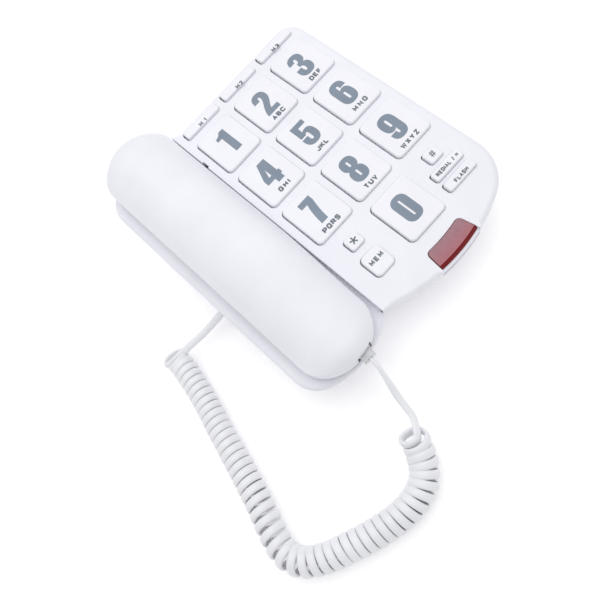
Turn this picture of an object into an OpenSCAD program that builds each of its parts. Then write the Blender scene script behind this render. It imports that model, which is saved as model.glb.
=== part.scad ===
/* [Base] */
// Height of the sloping deck above the table at the middle of the base
deck_h = 45; // [43:1:50]
// Slope of the deck, low at the front
deck_tilt = 7; // [5:0.5:8]
// Wall thickness of the moulded covers
wall = 2.5; // [2:0.1:3]
// Depth of the top cover's skirt below the deck
skirt_h = 12; // [11:0.5:13]
// How far the handset cradle lies below the deck
ledge_drop = 6; // [5:0.5:6]
// Left edge of the deck, where it steps down to the cradle
step_u = -24; // [-24:0.5:-23.5]
// Inward lean of the bottom cover's walls, as a slope
under_slope = 0.45; // [0.3:0.05:0.5]

/* [Keypad] */
// Width of a number key
key_w = 27.8; // [26:0.1:28.4]
// Depth of a number key
key_d = 32.4; // [30:0.1:33]
// Pitch of the key columns
col_pitch = 33.5; // [33:0.1:33.8]
// Pitch of the key rows
row_pitch = 37.6; // [37:0.1:38]
// How far a key stands above the deck
key_rise = 2.6; // [2:0.1:3]
// How far a key travels when pressed
key_travel = 1.8; // [1:0.1:1.9]
// Gap round a key in its opening
key_gap = 0.5; // [0.3:0.05:0.6]

/* [Handset] */
// Length of the handset
handset_len = 202; // [198:1:204]
// Width of the handset
handset_w = 51; // [48:0.5:51.4]
// Height of the handset's crown above the deck
crown_w = 20; // [18:0.5:22]
// Radius of the earpiece and mouthpiece heads
head_r = 21; // [19:0.5:21.5]
// Height of the seam between the handset's two shells, above the deck
seam_w = 4.2; // [3.8:0.1:5]

/* [Cord] */
// Outer diameter of the curly part of the cord
coil_d = 16.5; // [14:0.5:17]
// Width of the flat cord
lead_d = 4.8; // [4:0.1:5.5]

/* [Hidden] */
$fn = 64;

// Colours
shell_white = [0.93, 0.93, 0.96];
key_white = [0.95, 0.95, 0.98];
lens_red = [0.75, 0.05, 0.08, 0.7];
board_green = [0.1, 0.4, 0.2];
steel_grey = [0.6, 0.6, 0.62];
rubber_grey = [0.35, 0.36, 0.38];
part_black = [0.12, 0.12, 0.13];
jack_clear = [0.85, 0.87, 0.9];

// Deck coordinates: u to the right, v up the slope, w square to the deck, origin above the base's middle.
// The keypad lobe: one long front arc, a large front right corner and a small back right corner.
deck_right = 84;
deck_back = 84;
back_corner_r = 13;
front_arc_r = 105.5;
front_arc_c = [25, 3.5];
front_corner_r = 30;
front_corner_u = deck_right - front_corner_r;
front_corner_a = -acos((front_corner_u - front_arc_c[0]) / (front_arc_r - front_corner_r));
front_corner_c = front_arc_c
    + (front_arc_r - front_corner_r) * [cos(front_corner_a), sin(front_corner_a)];
lobe_overlap_u = -28;
front_arc_a0 = -180 + acos((front_arc_c[0] - lobe_overlap_u) / front_arc_r);

// The cradle lobe, under the handset
cradle_c = [-52, -1.75];
cradle_half_w = 31.5;
cradle_half_l = 98.25;
cradle_end_r = 52;
cradle_corner_r = 18;
notch_r = 3;

// The handset and the cups that its heads rest in
handset_c = [-50.5, 1.5];
handset_end_r = 30;
handset_corner_r = 20;
handset_wall = 2.3;
handset_under_w = -5.4;
grip_under_w = 2;
grip_v = [-38, 42];
grip_side = 4.5;
ear_v = 67;
mouth_v = -64;
head_under_w = -16;
cup_gap = 1;
cup_floor_w = -17;
well_u = [-70, -31];
well_v = [-34, 38];
well_floor_w = -14;
well_corner_r = 6;
crown_len_r = 620;
crown_side_r = 34;

// Keys: columns, rows and the small keys' centres and sizes
col_u = [-4, -4 + col_pitch, -4 + 2 * col_pitch];
row_v = [51.5, 51.5 - row_pitch, 51.5 - 2 * row_pitch];
memory_v = 77.3;
memory_size = [27.8, 6.8];
zero_c = [29, -62.6];
star_c = [-4.2, -52.6];
hash_c = [62, -52.4];
symbol_size = [9.6, 8.6];
mem_c = [-4.5, -70.2];
mem_size = [13.8, 15.4];
redial_c = [61.6, -63];
flash_c = [61.3, -72.2];
thin_size = [21.8, 6.6];
big_size = [key_w, key_d];
flange = 1.1;
thin_flange = 0.4;
flange_t = 1.2;
flange_gap = 0.2;
key_corner_r = 3;
small_corner_r = 1.6;
KEYS = [
    [[col_u[0], row_v[0]], big_size], [[col_u[1], row_v[0]], big_size], [[col_u[2], row_v[0]], big_size],
    [[col_u[0], row_v[1]], big_size], [[col_u[1], row_v[1]], big_size], [[col_u[2], row_v[1]], big_size],
    [[col_u[0], row_v[2]], big_size], [[col_u[1], row_v[2]], big_size], [[col_u[2], row_v[2]], big_size],
    [zero_c, big_size], [star_c, symbol_size], [hash_c, symbol_size],
    [[col_u[0], memory_v], memory_size], [[col_u[1], memory_v], memory_size],
    [[col_u[2], memory_v], memory_size], [mem_c, mem_size], [redial_c, thin_size], [flash_c, thin_size]];

// Layers under the keys, as heights in deck coordinates
dome_top_w = -wall - flange_gap - flange_t - key_travel - 0.2;
dome_h = 0.9;
mat_t = 1.2;
mat_top_w = dome_top_w - dome_h;
board_t = 1.6;
board_top_w = mat_top_w - mat_t;
board_u = [-17, 73];
board_v = [-83, 80];
keypad_screw_at = [[6, -86.5], [56, -86.5]];

// Case screws: two along the step beside the cradle, two between the keys at the front
case_screw_at = [[-21, 50], [-21, -74], [8, -58], [66, -44]];
case_boss_r = [3.3, 3.3, 3.3, 2.6];
case_boss_top_w = [-6.4, -6.4, -2, -2];
case_boss_w = -18;
case_screw_r = 1.4;
screw_head_h = 1.8;
screw_head_share = 1.9;
case_well_r = 4.6;

// The tapered bottom cover
taper_h = 60;
foot_h = 2;
floor_z = foot_h + wall;
foot_r = 7;
foot_at = [[-60, -70], [58, -66], [-54, 54], [54, 48]];

// Ballast in the bottom cover, under the mouthpiece cup
ballast_c = [-48, -42];
ballast_size = [36, 48];

// The ringer, over its sound holes
ringer_c = [44, -30];

// The ringer lens in the front edge
lens_u = [14, 42.6];
lens_back_v = -89;
lens_depth = 7;
lens_gap = 0.2;
lens_rise = 0.8;
lens_wall = 1.8;
led_at = [28.3, -94];
led_r = 2.4;

// The hook plunger in the earpiece cup, its switch and its spring
hook_c = [-36, 62];
hook_size = 6.4;
hook_opening = 7.2;
hook_top_w = cup_floor_w + 0.7;
hook_flange = 9.4;
hook_flange_w = -25;
hook_stem_r = 1.9;
hook_stem_w = -28.6;
hook_switch_top_w = -31;
hook_switch_size = [12, 9, 6];
spring_r = 3.3;
spring_wire_r = 0.35;
spring_turns = 5;
hook_slot_v = [54.5, 62.5];
hook_slot_u = [-26.4, -24.1];

// Main board, on four posts
main_board_c = [26, 33];
main_board_size = [80, 46];
main_board_z = 12.6;
main_board_post = [for (x = [-1, 1], y = [-1, 1]) main_board_c + [x * 35, y * 18]];

// Jacks: a line jack in the back and a cord jack in the left side
line_jack_c = [40, 66, 13];
line_jack_size = [16, 17, 14];
line_socket = [11.8, 14, 7];
cord_jack_c = [-66, -3, 12];
cord_jack_size = [16, 13, 11];
cord_socket = [13, 7.9, 6.2];
handset_jack_c = [-47.5, -91, 0.4];
handset_jack_size = [12, 14.5, 7.4];
plug_size = [7.6, 11.6, 5.8];

// Cord routes, in the part's own coordinates
handset_lead_route = [[-47.5, -102.3, 32.8], [-47.5, -105.3, 32.4], [-48.5, -110, 29.5], [-50.3, -116, 24.5],
    [-52.3, -122.5, 19.5], [-53.7, -129, 16.4], [-54.9, -134.2, 15.2], [-56.3, -138.9, 14.2]];
coil_route = [[-61.5, -137.5, 14], [-63.5, -143.5, 12.6], [-66.6, -149, 10.7], [-70.5, -154.5, 9],
    [-76, -158.8, 8.3], [-82, -161, 8.3], [-89, -161.8, 8.3], [-97, -161.2, 8.3], [-106, -159.2, 8.3],
    [-116, -156.2, 8.3], [-126, -152.4, 8.3], [-135, -148.8, 8.3], [-142.5, -144.6, 8.3],
    [-148.4, -139.8, 8.3], [-151.8, -133.4, 8.3], [-152, -126, 8.3], [-150, -117, 8.3],
    [-147, -107.5, 8.3], [-143.5, -95.5, 8.3], [-140.2, -82, 8.3], [-137, -68.5, 8.3],
    [-133.2, -52, 8.3], [-129.2, -36, 8.3], [-125.5, -20.5, 8.3], [-122, -8, 8.3], [-119.5, 1, 8.3]];
base_lead_route = [[-119.5, -2, 13.5], [-115, -2.2, 12.8], [-108, -2.4, 11.8], [-101, -2.8, 11.3],
    [-93, -3, 11.3], [-87, -3, 11.7], [-82, -3, 12], [-78.8, -3, 12]];

// Plans and outlines

function arc(c, r, a0, a1, n) = [for (i = [0:n]) let(a = a0 + (a1 - a0) * i / n) c + r * [cos(a), sin(a)]];

// A long lobe with gently curved ends and rounded corners
function lobe(c, half_w, half_l, end_r, corner_r) =
    let(
        dx = half_w - corner_r,
        dy = sqrt(pow(end_r - corner_r, 2) - dx * dx),
        corner_v = half_l - end_r + dy,
        a = atan2(dy, dx))
    concat(
        arc(c + [dx, corner_v], corner_r, 0, a, 8),
        arc(c + [0, half_l - end_r], end_r, a, 180 - a, 10),
        arc(c + [-dx, corner_v], corner_r, 180 - a, 180, 8),
        arc(c + [-dx, -corner_v], corner_r, 180, 180 + a, 8),
        arc(c + [0, end_r - half_l], end_r, 180 + a, 360 - a, 10),
        arc(c + [dx, -corner_v], corner_r, 360 - a, 360, 8));

module on_deck() {
    translate([0, 0, deck_h]) rotate([deck_tilt, 0, 0]) children();
}

module keypad_lobe() {
    polygon(concat(
        arc(front_arc_c, front_arc_r, front_arc_a0, front_corner_a, 16),
        arc(front_corner_c, front_corner_r, front_corner_a, 0, 10),
        arc([deck_right, deck_back] - back_corner_r * [1, 1], back_corner_r, 0, 90, 8),
        [[lobe_overlap_u, deck_back]]));
}

module base_plan(inset) {
    offset(delta = -inset) offset(r = -notch_r, $fn = 32) offset(r = notch_r, $fn = 32) {
        keypad_lobe();
        polygon(lobe(cradle_c, cradle_half_w, cradle_half_l, cradle_end_r, cradle_corner_r));
    }
}

module rounded_rect(size, r) {
    polygon(concat(
        arc([size[0] / 2 - r, size[1] / 2 - r], r, 0, 90, 5),
        arc([r - size[0] / 2, size[1] / 2 - r], r, 90, 180, 5),
        arc([r - size[0] / 2, r - size[1] / 2], r, 180, 270, 5),
        arc([size[0] / 2 - r, r - size[1] / 2], r, 270, 360, 5)));
}

// A slab between two heights in deck coordinates
module slab(w0, w1) {
    translate([0, 0, w0]) linear_extrude(height = w1 - w0) children();
}

module box_between(lo, hi) {
    translate(lo) cube(hi - lo);
}

module above_cradle(t) {
    box_between([-120, -130, -ledge_drop - t], [step_u + t, 130, 40]);
}

// Base covers

module cover_block(t, depth) {
    difference() {
        slab(-depth, -t) base_plan(t);
        above_cradle(t);
    }
}

module cups(t) {
    for (v = [ear_v, mouth_v])
        translate([handset_c[0], v, cup_floor_w - t]) cylinder(r = head_r + cup_gap + t, h = 30, $fn = 96);
}

module finger_well(t) {
    size = [well_u[1] - well_u[0], well_v[1] - well_v[0]];
    translate([(well_u[0] + well_u[1]) / 2, (well_v[0] + well_v[1]) / 2])
        slab(well_floor_w - t, 14) rounded_rect(size + 2 * t * [1, 1], well_corner_r + t);
}

module key_openings() {
    for (k = KEYS)
        translate(k[0]) slab(-wall - 1, 1)
            rounded_rect(k[1] + 2 * key_gap * [1, 1], corner_of(k[1]) + key_gap);
}

function corner_of(size) = min(size) > 12 ? key_corner_r : small_corner_r;

module case_bosses() {
    for (i = [0:3])
        translate([case_screw_at[i][0], case_screw_at[i][1], case_boss_w])
            cylinder(r = case_boss_r[i], h = case_boss_top_w[i] - case_boss_w);
}

module keypad_bosses() {
    for (p = keypad_screw_at)
        translate([p[0], p[1], board_top_w]) cylinder(r = 3, h = -wall / 2 - board_top_w);
}

// Room below the deck for the thin keys' flanges, all through their travel
module thin_key_pockets() {
    room = thin_flange + 0.35;
    for (k = KEYS)
        if (flange_of(k[1]) == thin_flange)
            translate(k[0])
                slab(-wall - flange_gap - flange_t - key_travel - 0.3, -wall)
                    rounded_rect(k[1] + 2 * room * [1, 1], corner_of(k[1]) + room);
}

module base_top_cover() {
    color(shell_white) on_deck() difference() {
        union() {
            difference() {
                cover_block(0, skirt_h);
                cover_block(wall, skirt_h + 1);
            }
            difference() {
                union() {
                    cups(wall);
                    finger_well(wall);
                    case_bosses();
                    keypad_bosses();
                }
                above_cradle(wall / 2);
                slab(-wall, 40) square(400, center = true);
            }
        }
        cups(0);
        finger_well(0);
        key_openings();
        thin_key_pockets();
        lens_space(lens_gap, lens_depth + lens_gap);
        translate([hook_c[0], hook_c[1], -40]) linear_extrude(height = 40) square(hook_opening, center = true);
        box_between([hook_slot_u[0], hook_slot_v[0], -ledge_drop - wall - 1], [hook_slot_u[1], hook_slot_v[1], 1]);
        for (p = case_screw_at)
            translate([p[0], p[1], case_boss_w - 1]) cylinder(r = case_screw_r + 0.05, h = 12);
        for (p = keypad_screw_at)
            translate([p[0], p[1], board_top_w - 1]) cylinder(r = 1.05, h = 5);
    }
}

// A wedge below the parting plane whose far side leans inwards from x, seen along its length
module leaning(x) {
    rotate([90, 0, 0]) linear_extrude(height = 400, center = true)
        polygon([[-200, -skirt_h], [x, -skirt_h], [x - under_slope * taper_h, -skirt_h - taper_h],
            [-200, -skirt_h - taper_h]]);
}

module cone_below(c, r) {
    translate([c[0], c[1], -skirt_h - taper_h])
        cylinder(r1 = r - under_slope * taper_h, r2 = r, h = taper_h, $fn = 180);
}

module keypad_under(t) {
    intersection() {
        slab(-skirt_h - taper_h, -skirt_h) offset(delta = -t) keypad_lobe();
        cone_below(front_arc_c, front_arc_r - t);
        leaning(deck_right - t);
        rotate([0, 0, 90]) leaning(deck_back - t);
    }
}

module cradle_under(t) {
    end_v = cradle_half_l - cradle_end_r;
    intersection() {
        slab(-skirt_h - taper_h, -skirt_h)
            polygon(lobe(cradle_c, cradle_half_w - t, cradle_half_l - t, cradle_end_r - t, cradle_corner_r - t));
        rotate([0, 0, 180]) leaning(cradle_half_w - cradle_c[0] - t);
        union() {
            box_between([-120, cradle_c[1] - end_v, -90], [0, cradle_c[1] + end_v, 0]);
            cone_below(cradle_c + [0, end_v], cradle_end_r - t);
            cone_below(cradle_c - [0, end_v], cradle_end_r - t);
        }
    }
}

// The body below the parting plane, drawn in by t
module under_body(t) {
    intersection() {
        on_deck() union() {
            keypad_under(t);
            cradle_under(t);
        }
        translate([-120, -130, foot_h + t]) cube([240, 260, 60]);
    }
}

module base_bottom_cover() {
    color(shell_white) difference() {
        union() {
            difference() {
                under_body(0);
                under_body(wall);
            }
            intersection() {
                under_body(0.5);
                union() {
                    on_deck() for (p = case_screw_at)
                        translate([p[0], p[1], -70]) cylinder(r = case_well_r, h = 70 + case_boss_w - 0.1);
                    for (p = main_board_post)
                        translate([p[0], p[1], floor_z - 0.5]) cylinder(r = 3, h = main_board_z - floor_z + 0.5);
                    // Pedestal of the hook switch
                    on_deck() translate(hook_c)
                        slab(-70, hook_switch_top_w - hook_switch_size[2]) square(9, center = true);
                }
            }
        }
        // Screw wells and their clearance holes
        on_deck() for (p = case_screw_at) {
            translate([p[0], p[1], -75]) cylinder(r = case_screw_r + 0.3, h = 70);
            translate([p[0], p[1], -75]) cylinder(r = case_well_r - 1.4, h = 75 + case_boss_w - 3.9);
        }
        for (p = foot_at)
            translate([p[0], p[1], foot_h - 0.1]) cylinder(r = foot_r + 0.2, h = 0.9);
        // Sound holes under the ringer
        for (i = [-2:2])
            translate([ringer_c[0] + 5 * i, ringer_c[1], 0]) linear_extrude(height = 10) rounded_rect([2, 18], 0.9);
        // Jack openings
        translate(line_jack_c) cube([line_jack_size[0] + 0.4, 60, line_jack_size[2] + 0.4], center = true);
        translate(cord_jack_c) cube([60, cord_jack_size[1] + 0.4, cord_jack_size[2] + 0.4], center = true);
    }
}

module rubber_feet() {
    color(rubber_grey) for (p = foot_at)
        translate([p[0], p[1], 0]) cylinder(r = foot_r, h = foot_h + 0.7);
}

module screw(r, length) {
    union() {
        cylinder(r = r, h = length);
        difference() {
            translate([0, 0, -screw_head_h]) cylinder(r = r * screw_head_share, h = screw_head_h);
            for (a = [0, 90])
                rotate([0, 0, a]) translate([0, 0, -screw_head_h])
                    cube([r * 2, r * 0.5, screw_head_h], center = true);
        }
    }
}

module case_screws() {
    color(steel_grey) on_deck() for (p = case_screw_at)
        translate([p[0], p[1], case_boss_w - 3.9]) screw(case_screw_r, 12);
}

module keypad_screws() {
    color(steel_grey) on_deck() for (p = keypad_screw_at)
        translate([p[0], p[1], board_top_w - board_t - 0.05]) screw(1, 5);
}

module ballast_plate() {
    color(steel_grey) translate([ballast_c[0], ballast_c[1], floor_z + 0.1]) difference() {
        linear_extrude(height = 4) rounded_rect(ballast_size, 4);
        for (y = [-18, 18])
            translate([0, y, -1]) cylinder(r = 2, h = 8);
    }
}

// Keypad

function flange_of(size) = min(size) > 8 ? flange : thin_flange;

module key(i) {
    c = KEYS[i][0];
    size = KEYS[i][1];
    r = corner_of(size);
    under_w = -wall - flange_gap;
    rim = flange_of(size);
    color(key_white) on_deck() translate(c) difference() {
        union() {
            slab(under_w - flange_t, key_rise - 0.6) rounded_rect(size, r);
            slab(key_rise - 0.6, key_rise) rounded_rect(size - 1.2 * [1, 1], r - 0.4);
            slab(under_w - flange_t, under_w) rounded_rect(size + 2 * rim * [1, 1], r + rim);
        }
        // Hollow underside with a pusher left in the middle
        if (min(size) > 12)
            difference() {
                slab(under_w - flange_t - 1, key_rise - 2.2) rounded_rect(size - 4.4 * [1, 1], r - 1);
                slab(under_w - flange_t - 2, key_rise) circle(r = 3.6);
            }
    }
}

module keypad_mat() {
    color(rubber_grey) on_deck() difference() {
        union() {
            slab(board_top_w, mat_top_w)
                translate([(board_u[0] + board_u[1]) / 2, (board_v[0] + board_v[1]) / 2])
                    rounded_rect([board_u[1] - board_u[0] - 2, board_v[1] - board_v[0] - 2], 3);
            for (k = KEYS)
                translate([k[0][0], k[0][1], mat_top_w]) cylinder(r = min(k[1]) > 12 ? 4 : 2.4, h = dome_h);
        }
        for (k = KEYS)
            translate([k[0][0], k[0][1], board_top_w - 1])
                cylinder(r = min(k[1]) > 12 ? 2.6 : 1.4, h = mat_t + 1.2);
        boss_holes();
    }
}

// Clearance round the two case bosses that pass between the keys
module boss_holes() {
    for (i = [2, 3])
        translate([case_screw_at[i][0], case_screw_at[i][1], -20]) cylinder(r = case_boss_r[i] + 0.5, h = 18);
}

module keypad_board() {
    color(board_green) on_deck() difference() {
        union() {
            slab(board_top_w - board_t, board_top_w)
                translate([(board_u[0] + board_u[1]) / 2, (board_v[0] + board_v[1]) / 2])
                    rounded_rect([board_u[1] - board_u[0], board_v[1] - board_v[0]], 3);
            // Tongues for the two screws and for the ringer LED
            box_between([0, -90, board_top_w - board_t], [62, -80, board_top_w]);
            box_between([led_at[0] - 6, -97, board_top_w - board_t], [led_at[0] + 6, -80, board_top_w]);
        }
        for (p = keypad_screw_at)
            translate([p[0], p[1], board_top_w - 5]) cylinder(r = 1.3, h = 10);
        boss_holes();
    }
}

module key_1() { key(0); }
module key_2() { key(1); }
module key_3() { key(2); }
module key_4() { key(3); }
module key_5() { key(4); }
module key_6() { key(5); }
module key_7() { key(6); }
module key_8() { key(7); }
module key_9() { key(8); }
module key_0() { key(9); }
module key_star() { key(10); }
module key_hash() { key(11); }
module key_m1() { key(12); }
module key_m2() { key(13); }
module key_m3() { key(14); }
module key_mem() { key(15); }
module key_redial() { key(16); }
module key_flash() { key(17); }

// Electronics in the base

module main_board() {
    color(board_green) difference() {
        translate([main_board_c[0], main_board_c[1], main_board_z])
            linear_extrude(height = board_t) rounded_rect(main_board_size, 2);
        for (p = main_board_post)
            translate([p[0], p[1], main_board_z - 1]) cylinder(r = 1.3, h = 4);
    }
}

// Speech chip, transformer, relay and a row of capacitors
module board_components() {
    color(part_black) translate([main_board_c[0], main_board_c[1], main_board_z + board_t]) {
        box_between([-8, -6, 0], [10, 1, 3.2]);
        box_between([14, -8, 0], [30, 6, 9]);
        box_between([-30, -4, 0], [-16, 8, 7]);
        for (i = [0:4])
            translate([-24 + 8 * i, -16, 0]) cylinder(r = 2.5, h = 7);
    }
}

module ringer_buzzer() {
    color(part_black) translate([ringer_c[0], ringer_c[1], floor_z + 0.1]) difference() {
        union() {
            cylinder(r = 14, h = 3);
            cylinder(r = 11, h = 6.5);
        }
        translate([0, 0, -1]) cylinder(r = 8, h = 2);
    }
}

module lens_space(gap, depth) {
    intersection() {
        slab(-depth, lens_rise + 1) base_plan(-1);
        box_between([lens_u[0] - gap, -120, -depth], [lens_u[1] + gap, lens_back_v + gap, lens_rise + 1]);
    }
}

module lens_block(inset) {
    intersection() {
        slab(-lens_depth, lens_rise - inset) base_plan(inset);
        box_between([lens_u[0] + inset, -120, -lens_depth - 1], [lens_u[1] - inset, lens_back_v - inset, 10]);
    }
}

module ringer_lens() {
    color(lens_red) on_deck() difference() {
        lens_block(0);
        translate([0, 0, -0.5]) lens_block(lens_wall);
    }
}

module ringer_led() {
    color("red") on_deck() translate([led_at[0], led_at[1], board_top_w]) {
        cylinder(r = led_r + 0.5, h = 1);
        cylinder(r = led_r, h = 3.2);
        translate([0, 0, 3.2]) sphere(r = led_r);
    }
}

module line_jack() {
    color(part_black) translate(line_jack_c) difference() {
        cube(line_jack_size, center = true);
        translate([0, 3, 0]) cube(line_socket, center = true);
        translate([0, 3, -line_socket[2] / 2]) cube([5, line_socket[1], 3.4], center = true);
    }
}

module base_cord_jack() {
    color(part_black) translate(cord_jack_c) difference() {
        cube(cord_jack_size, center = true);
        translate([-2, 0, 0]) cube(cord_socket, center = true);
        translate([-2, 0, -cord_socket[2] / 2]) cube([cord_socket[0], 3.6, 2.6], center = true);
    }
}

// Hook switch

module hook_plunger() {
    color(key_white) on_deck() translate(hook_c) {
        slab(hook_flange_w, hook_top_w) square(hook_size, center = true);
        slab(hook_flange_w - 1.2, hook_flange_w) square(hook_flange, center = true);
        translate([0, 0, hook_stem_w]) cylinder(r = hook_stem_r, h = hook_flange_w - hook_stem_w);
    }
}

function ring(c, x_axis, y_axis, r, sides) =
    [for (j = [0:sides - 1]) let(a = 360 * j / sides) c + r * (cos(a) * x_axis + sin(a) * y_axis)];

// Faces of a tube of n rings, with flat ends
function tube_faces(n, sides) = concat(
    [for (i = [0:n - 2], j = [0:sides - 1]) let(k = (j + 1) % sides)
        [i * sides + j, i * sides + k, (i + 1) * sides + k, (i + 1) * sides + j]],
    [[for (j = [sides - 1:-1:0]) j]],
    [[for (j = [0:sides - 1]) (n - 1) * sides + j]]);

module hook_spring() {
    h = hook_flange_w - 1.2 - hook_switch_top_w - 2 * spring_wire_r;
    steps = 12;
    n = spring_turns * steps + 1;
    rings = [for (i = [0:n - 1])
        let(a = 360 * i / steps, out = [cos(a), sin(a), 0])
        ring(spring_r * out + [0, 0, h * i / (n - 1)], out, [0, 0, -1], spring_wire_r, 6)];
    color(steel_grey) on_deck()
        translate([hook_c[0], hook_c[1], hook_switch_top_w + spring_wire_r])
            polyhedron([for (r = rings) each r], tube_faces(n, 6));
}

module hook_switch() {
    color(part_black) on_deck() translate(hook_c) {
        slab(hook_switch_top_w - hook_switch_size[2], hook_switch_top_w)
            square([hook_switch_size[0], hook_switch_size[1]], center = true);
    }
}

// Handset

module handset_plan(t) {
    polygon(lobe(handset_c, handset_w / 2 - t, handset_len / 2 - t, handset_end_r - t, handset_corner_r - t));
}

// The crowned body of the handset, drawn in by t
module handset_body(w0, w1, t) {
    intersection() {
        slab(w0, w1) handset_plan(t);
        translate([handset_c[0] - 60, handset_c[1], crown_w - crown_len_r])
            rotate([0, 90, 0]) cylinder(r = crown_len_r - t, h = 120, $fn = 360);
        translate([handset_c[0], -150, crown_w - crown_side_r])
            rotate([-90, 0, 0]) cylinder(r = crown_side_r - t, h = 300, $fn = 96);
    }
}

module handset_back_shell() {
    color(shell_white) on_deck() difference() {
        union() {
            difference() {
                handset_body(seam_w, 40, 0);
                handset_body(seam_w - 1, 40, handset_wall);
            }
            intersection() {
                handset_body(seam_w, 40, handset_wall / 2);
                handset_posts(0.1, 3, 30);
            }
        }
        handset_posts(-1, 1.2, 10);
        handset_jack_space(0.2);
    }
}

// Posts on the handset's screw lines, standing up from just above the seam
module handset_posts(start, r, h) {
    for (v = [grip_v[0] + 8, grip_v[1] - 8])
        translate([handset_c[0], v, seam_w + start]) cylinder(r = r, h = h);
}

module handset_heads(t) {
    for (v = [ear_v, mouth_v])
        translate([handset_c[0], v, head_under_w + t]) cylinder(r = head_r - t, h = seam_w - head_under_w - t, $fn = 96);
}

// The hollow under the grip, between its two sides
module grip_recess(t) {
    half = handset_w / 2 - grip_side + t;
    box_between([handset_c[0] - half, grip_v[0] - t, -30], [handset_c[0] + half, grip_v[1] + t, grip_under_w + t]);
}

module handset_lower(t) {
    difference() {
        union() {
            slab(handset_under_w + t, seam_w + (t > 0 ? 1 : 0)) handset_plan(t);
            handset_heads(t);
        }
        grip_recess(t);
    }
}

module handset_face_shell() {
    color(shell_white) on_deck() difference() {
        union() {
            difference() {
                handset_lower(0);
                handset_lower(handset_wall);
                handset_heads(handset_wall);
            }
            for (v = [grip_v[0] + 8, grip_v[1] - 8])
                translate([handset_c[0], v, grip_under_w + 1]) cylinder(r = 3, h = seam_w - grip_under_w - 1);
        }
        handset_jack_space(0.2);
        for (v = [grip_v[0] + 8, grip_v[1] - 8])
            translate([handset_c[0], v, -10]) cylinder(r = 1.2, h = 30);
        // Sound holes over the receiver and the microphone
        for (a = [0:60:300])
            translate([handset_c[0] + 6 * cos(a), ear_v + 6 * sin(a), head_under_w - 1]) cylinder(r = 1, h = 6);
        translate([handset_c[0], ear_v, head_under_w - 1]) cylinder(r = 1, h = 6);
        for (x = [-4, 0, 4])
            translate([handset_c[0] + x, mouth_v, head_under_w - 1]) cylinder(r = 0.9, h = 6);
    }
}

module receiver_capsule() {
    color(part_black) on_deck() translate([handset_c[0], ear_v, head_under_w + handset_wall + 0.2]) {
        cylinder(r = 16.5, h = 5);
        translate([0, 0, 5]) cylinder(r = 11, h = 4);
    }
}

module microphone() {
    color(part_black) on_deck() translate([handset_c[0], mouth_v, head_under_w + handset_wall + 0.2])
        cylinder(r = 5, h = 5.5);
}

module handset_weight() {
    color(steel_grey) on_deck() translate([handset_c[0], 6, 8]) cube([22, 34, 5], center = true);
}

module handset_jack_space(gap) {
    translate(handset_jack_c) cube(handset_jack_size + [2 * gap, 40, 2 * gap], center = true);
}

module handset_cord_jack() {
    color(part_black) on_deck() translate(handset_jack_c) difference() {
        cube(handset_jack_size, center = true);
        translate([0, -2, 0]) cube([plug_size[0] + 0.3, handset_jack_size[1], plug_size[2] + 0.3], center = true);
    }
}

module handset_screws() {
    color(steel_grey) on_deck() for (v = [grip_v[0] + 8, grip_v[1] - 8])
        translate([handset_c[0], v, grip_under_w + 0.1]) cylinder(r = 1.15, h = 10);
}

// Cord

function unit(v) = v / norm(v);
function tangent(route, i) =
    unit(route[min(i + 1, len(route) - 1)] - route[max(i - 1, 0)]);
function side_of(t) = unit(cross(t, [0, 0, 1]));

// A round tube along a route of points
module tube(route, d, sides) {
    rings = [for (i = [0:len(route) - 1])
        let(t = tangent(route, i), x_axis = side_of(t), y_axis = cross(x_axis, t))
        ring(route[i], x_axis, -y_axis, d / 2, sides)];
    polyhedron([for (r = rings) each r], tube_faces(len(route), sides));
}

module handset_plug() {
    color(jack_clear) on_deck() translate(handset_jack_c + [0, -6.2, 0]) cube(plug_size, center = true);
}

module handset_lead() {
    color(shell_white) tube(handset_lead_route, lead_d, 8);
}

module curly_coil() {
    color(shell_white) tube(coil_route, coil_d, 12);
}

module base_lead() {
    color(shell_white) tube(base_lead_route, lead_d, 8);
}

module base_plug() {
    color(jack_clear) translate(cord_jack_c + [-7, 0, 0])
        cube([plug_size[1], plug_size[0], plug_size[2]], center = true);
}

base_top_cover();
base_bottom_cover();
rubber_feet();
case_screws();
ballast_plate();
keypad_mat();
keypad_board();
keypad_screws();
main_board();
board_components();
hook_plunger();
hook_spring();
hook_switch();
ringer_buzzer();
ringer_lens();
ringer_led();
line_jack();
base_cord_jack();
key_1();
key_2();
key_3();
key_4();
key_5();
key_6();
key_7();
key_8();
key_9();
key_0();
key_star();
key_hash();
key_m1();
key_m2();
key_m3();
key_mem();
key_redial();
key_flash();
handset_back_shell();
handset_face_shell();
receiver_capsule();
microphone();
handset_weight();
handset_cord_jack();
handset_screws();
handset_plug();
handset_lead();
curly_coil();
base_lead();
base_plug();
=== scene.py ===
import bpy
import bmesh
import math
import numpy as np
from mathutils import Vector, Matrix
from mathutils.geometry import delaunay_2d_cdt


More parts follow.
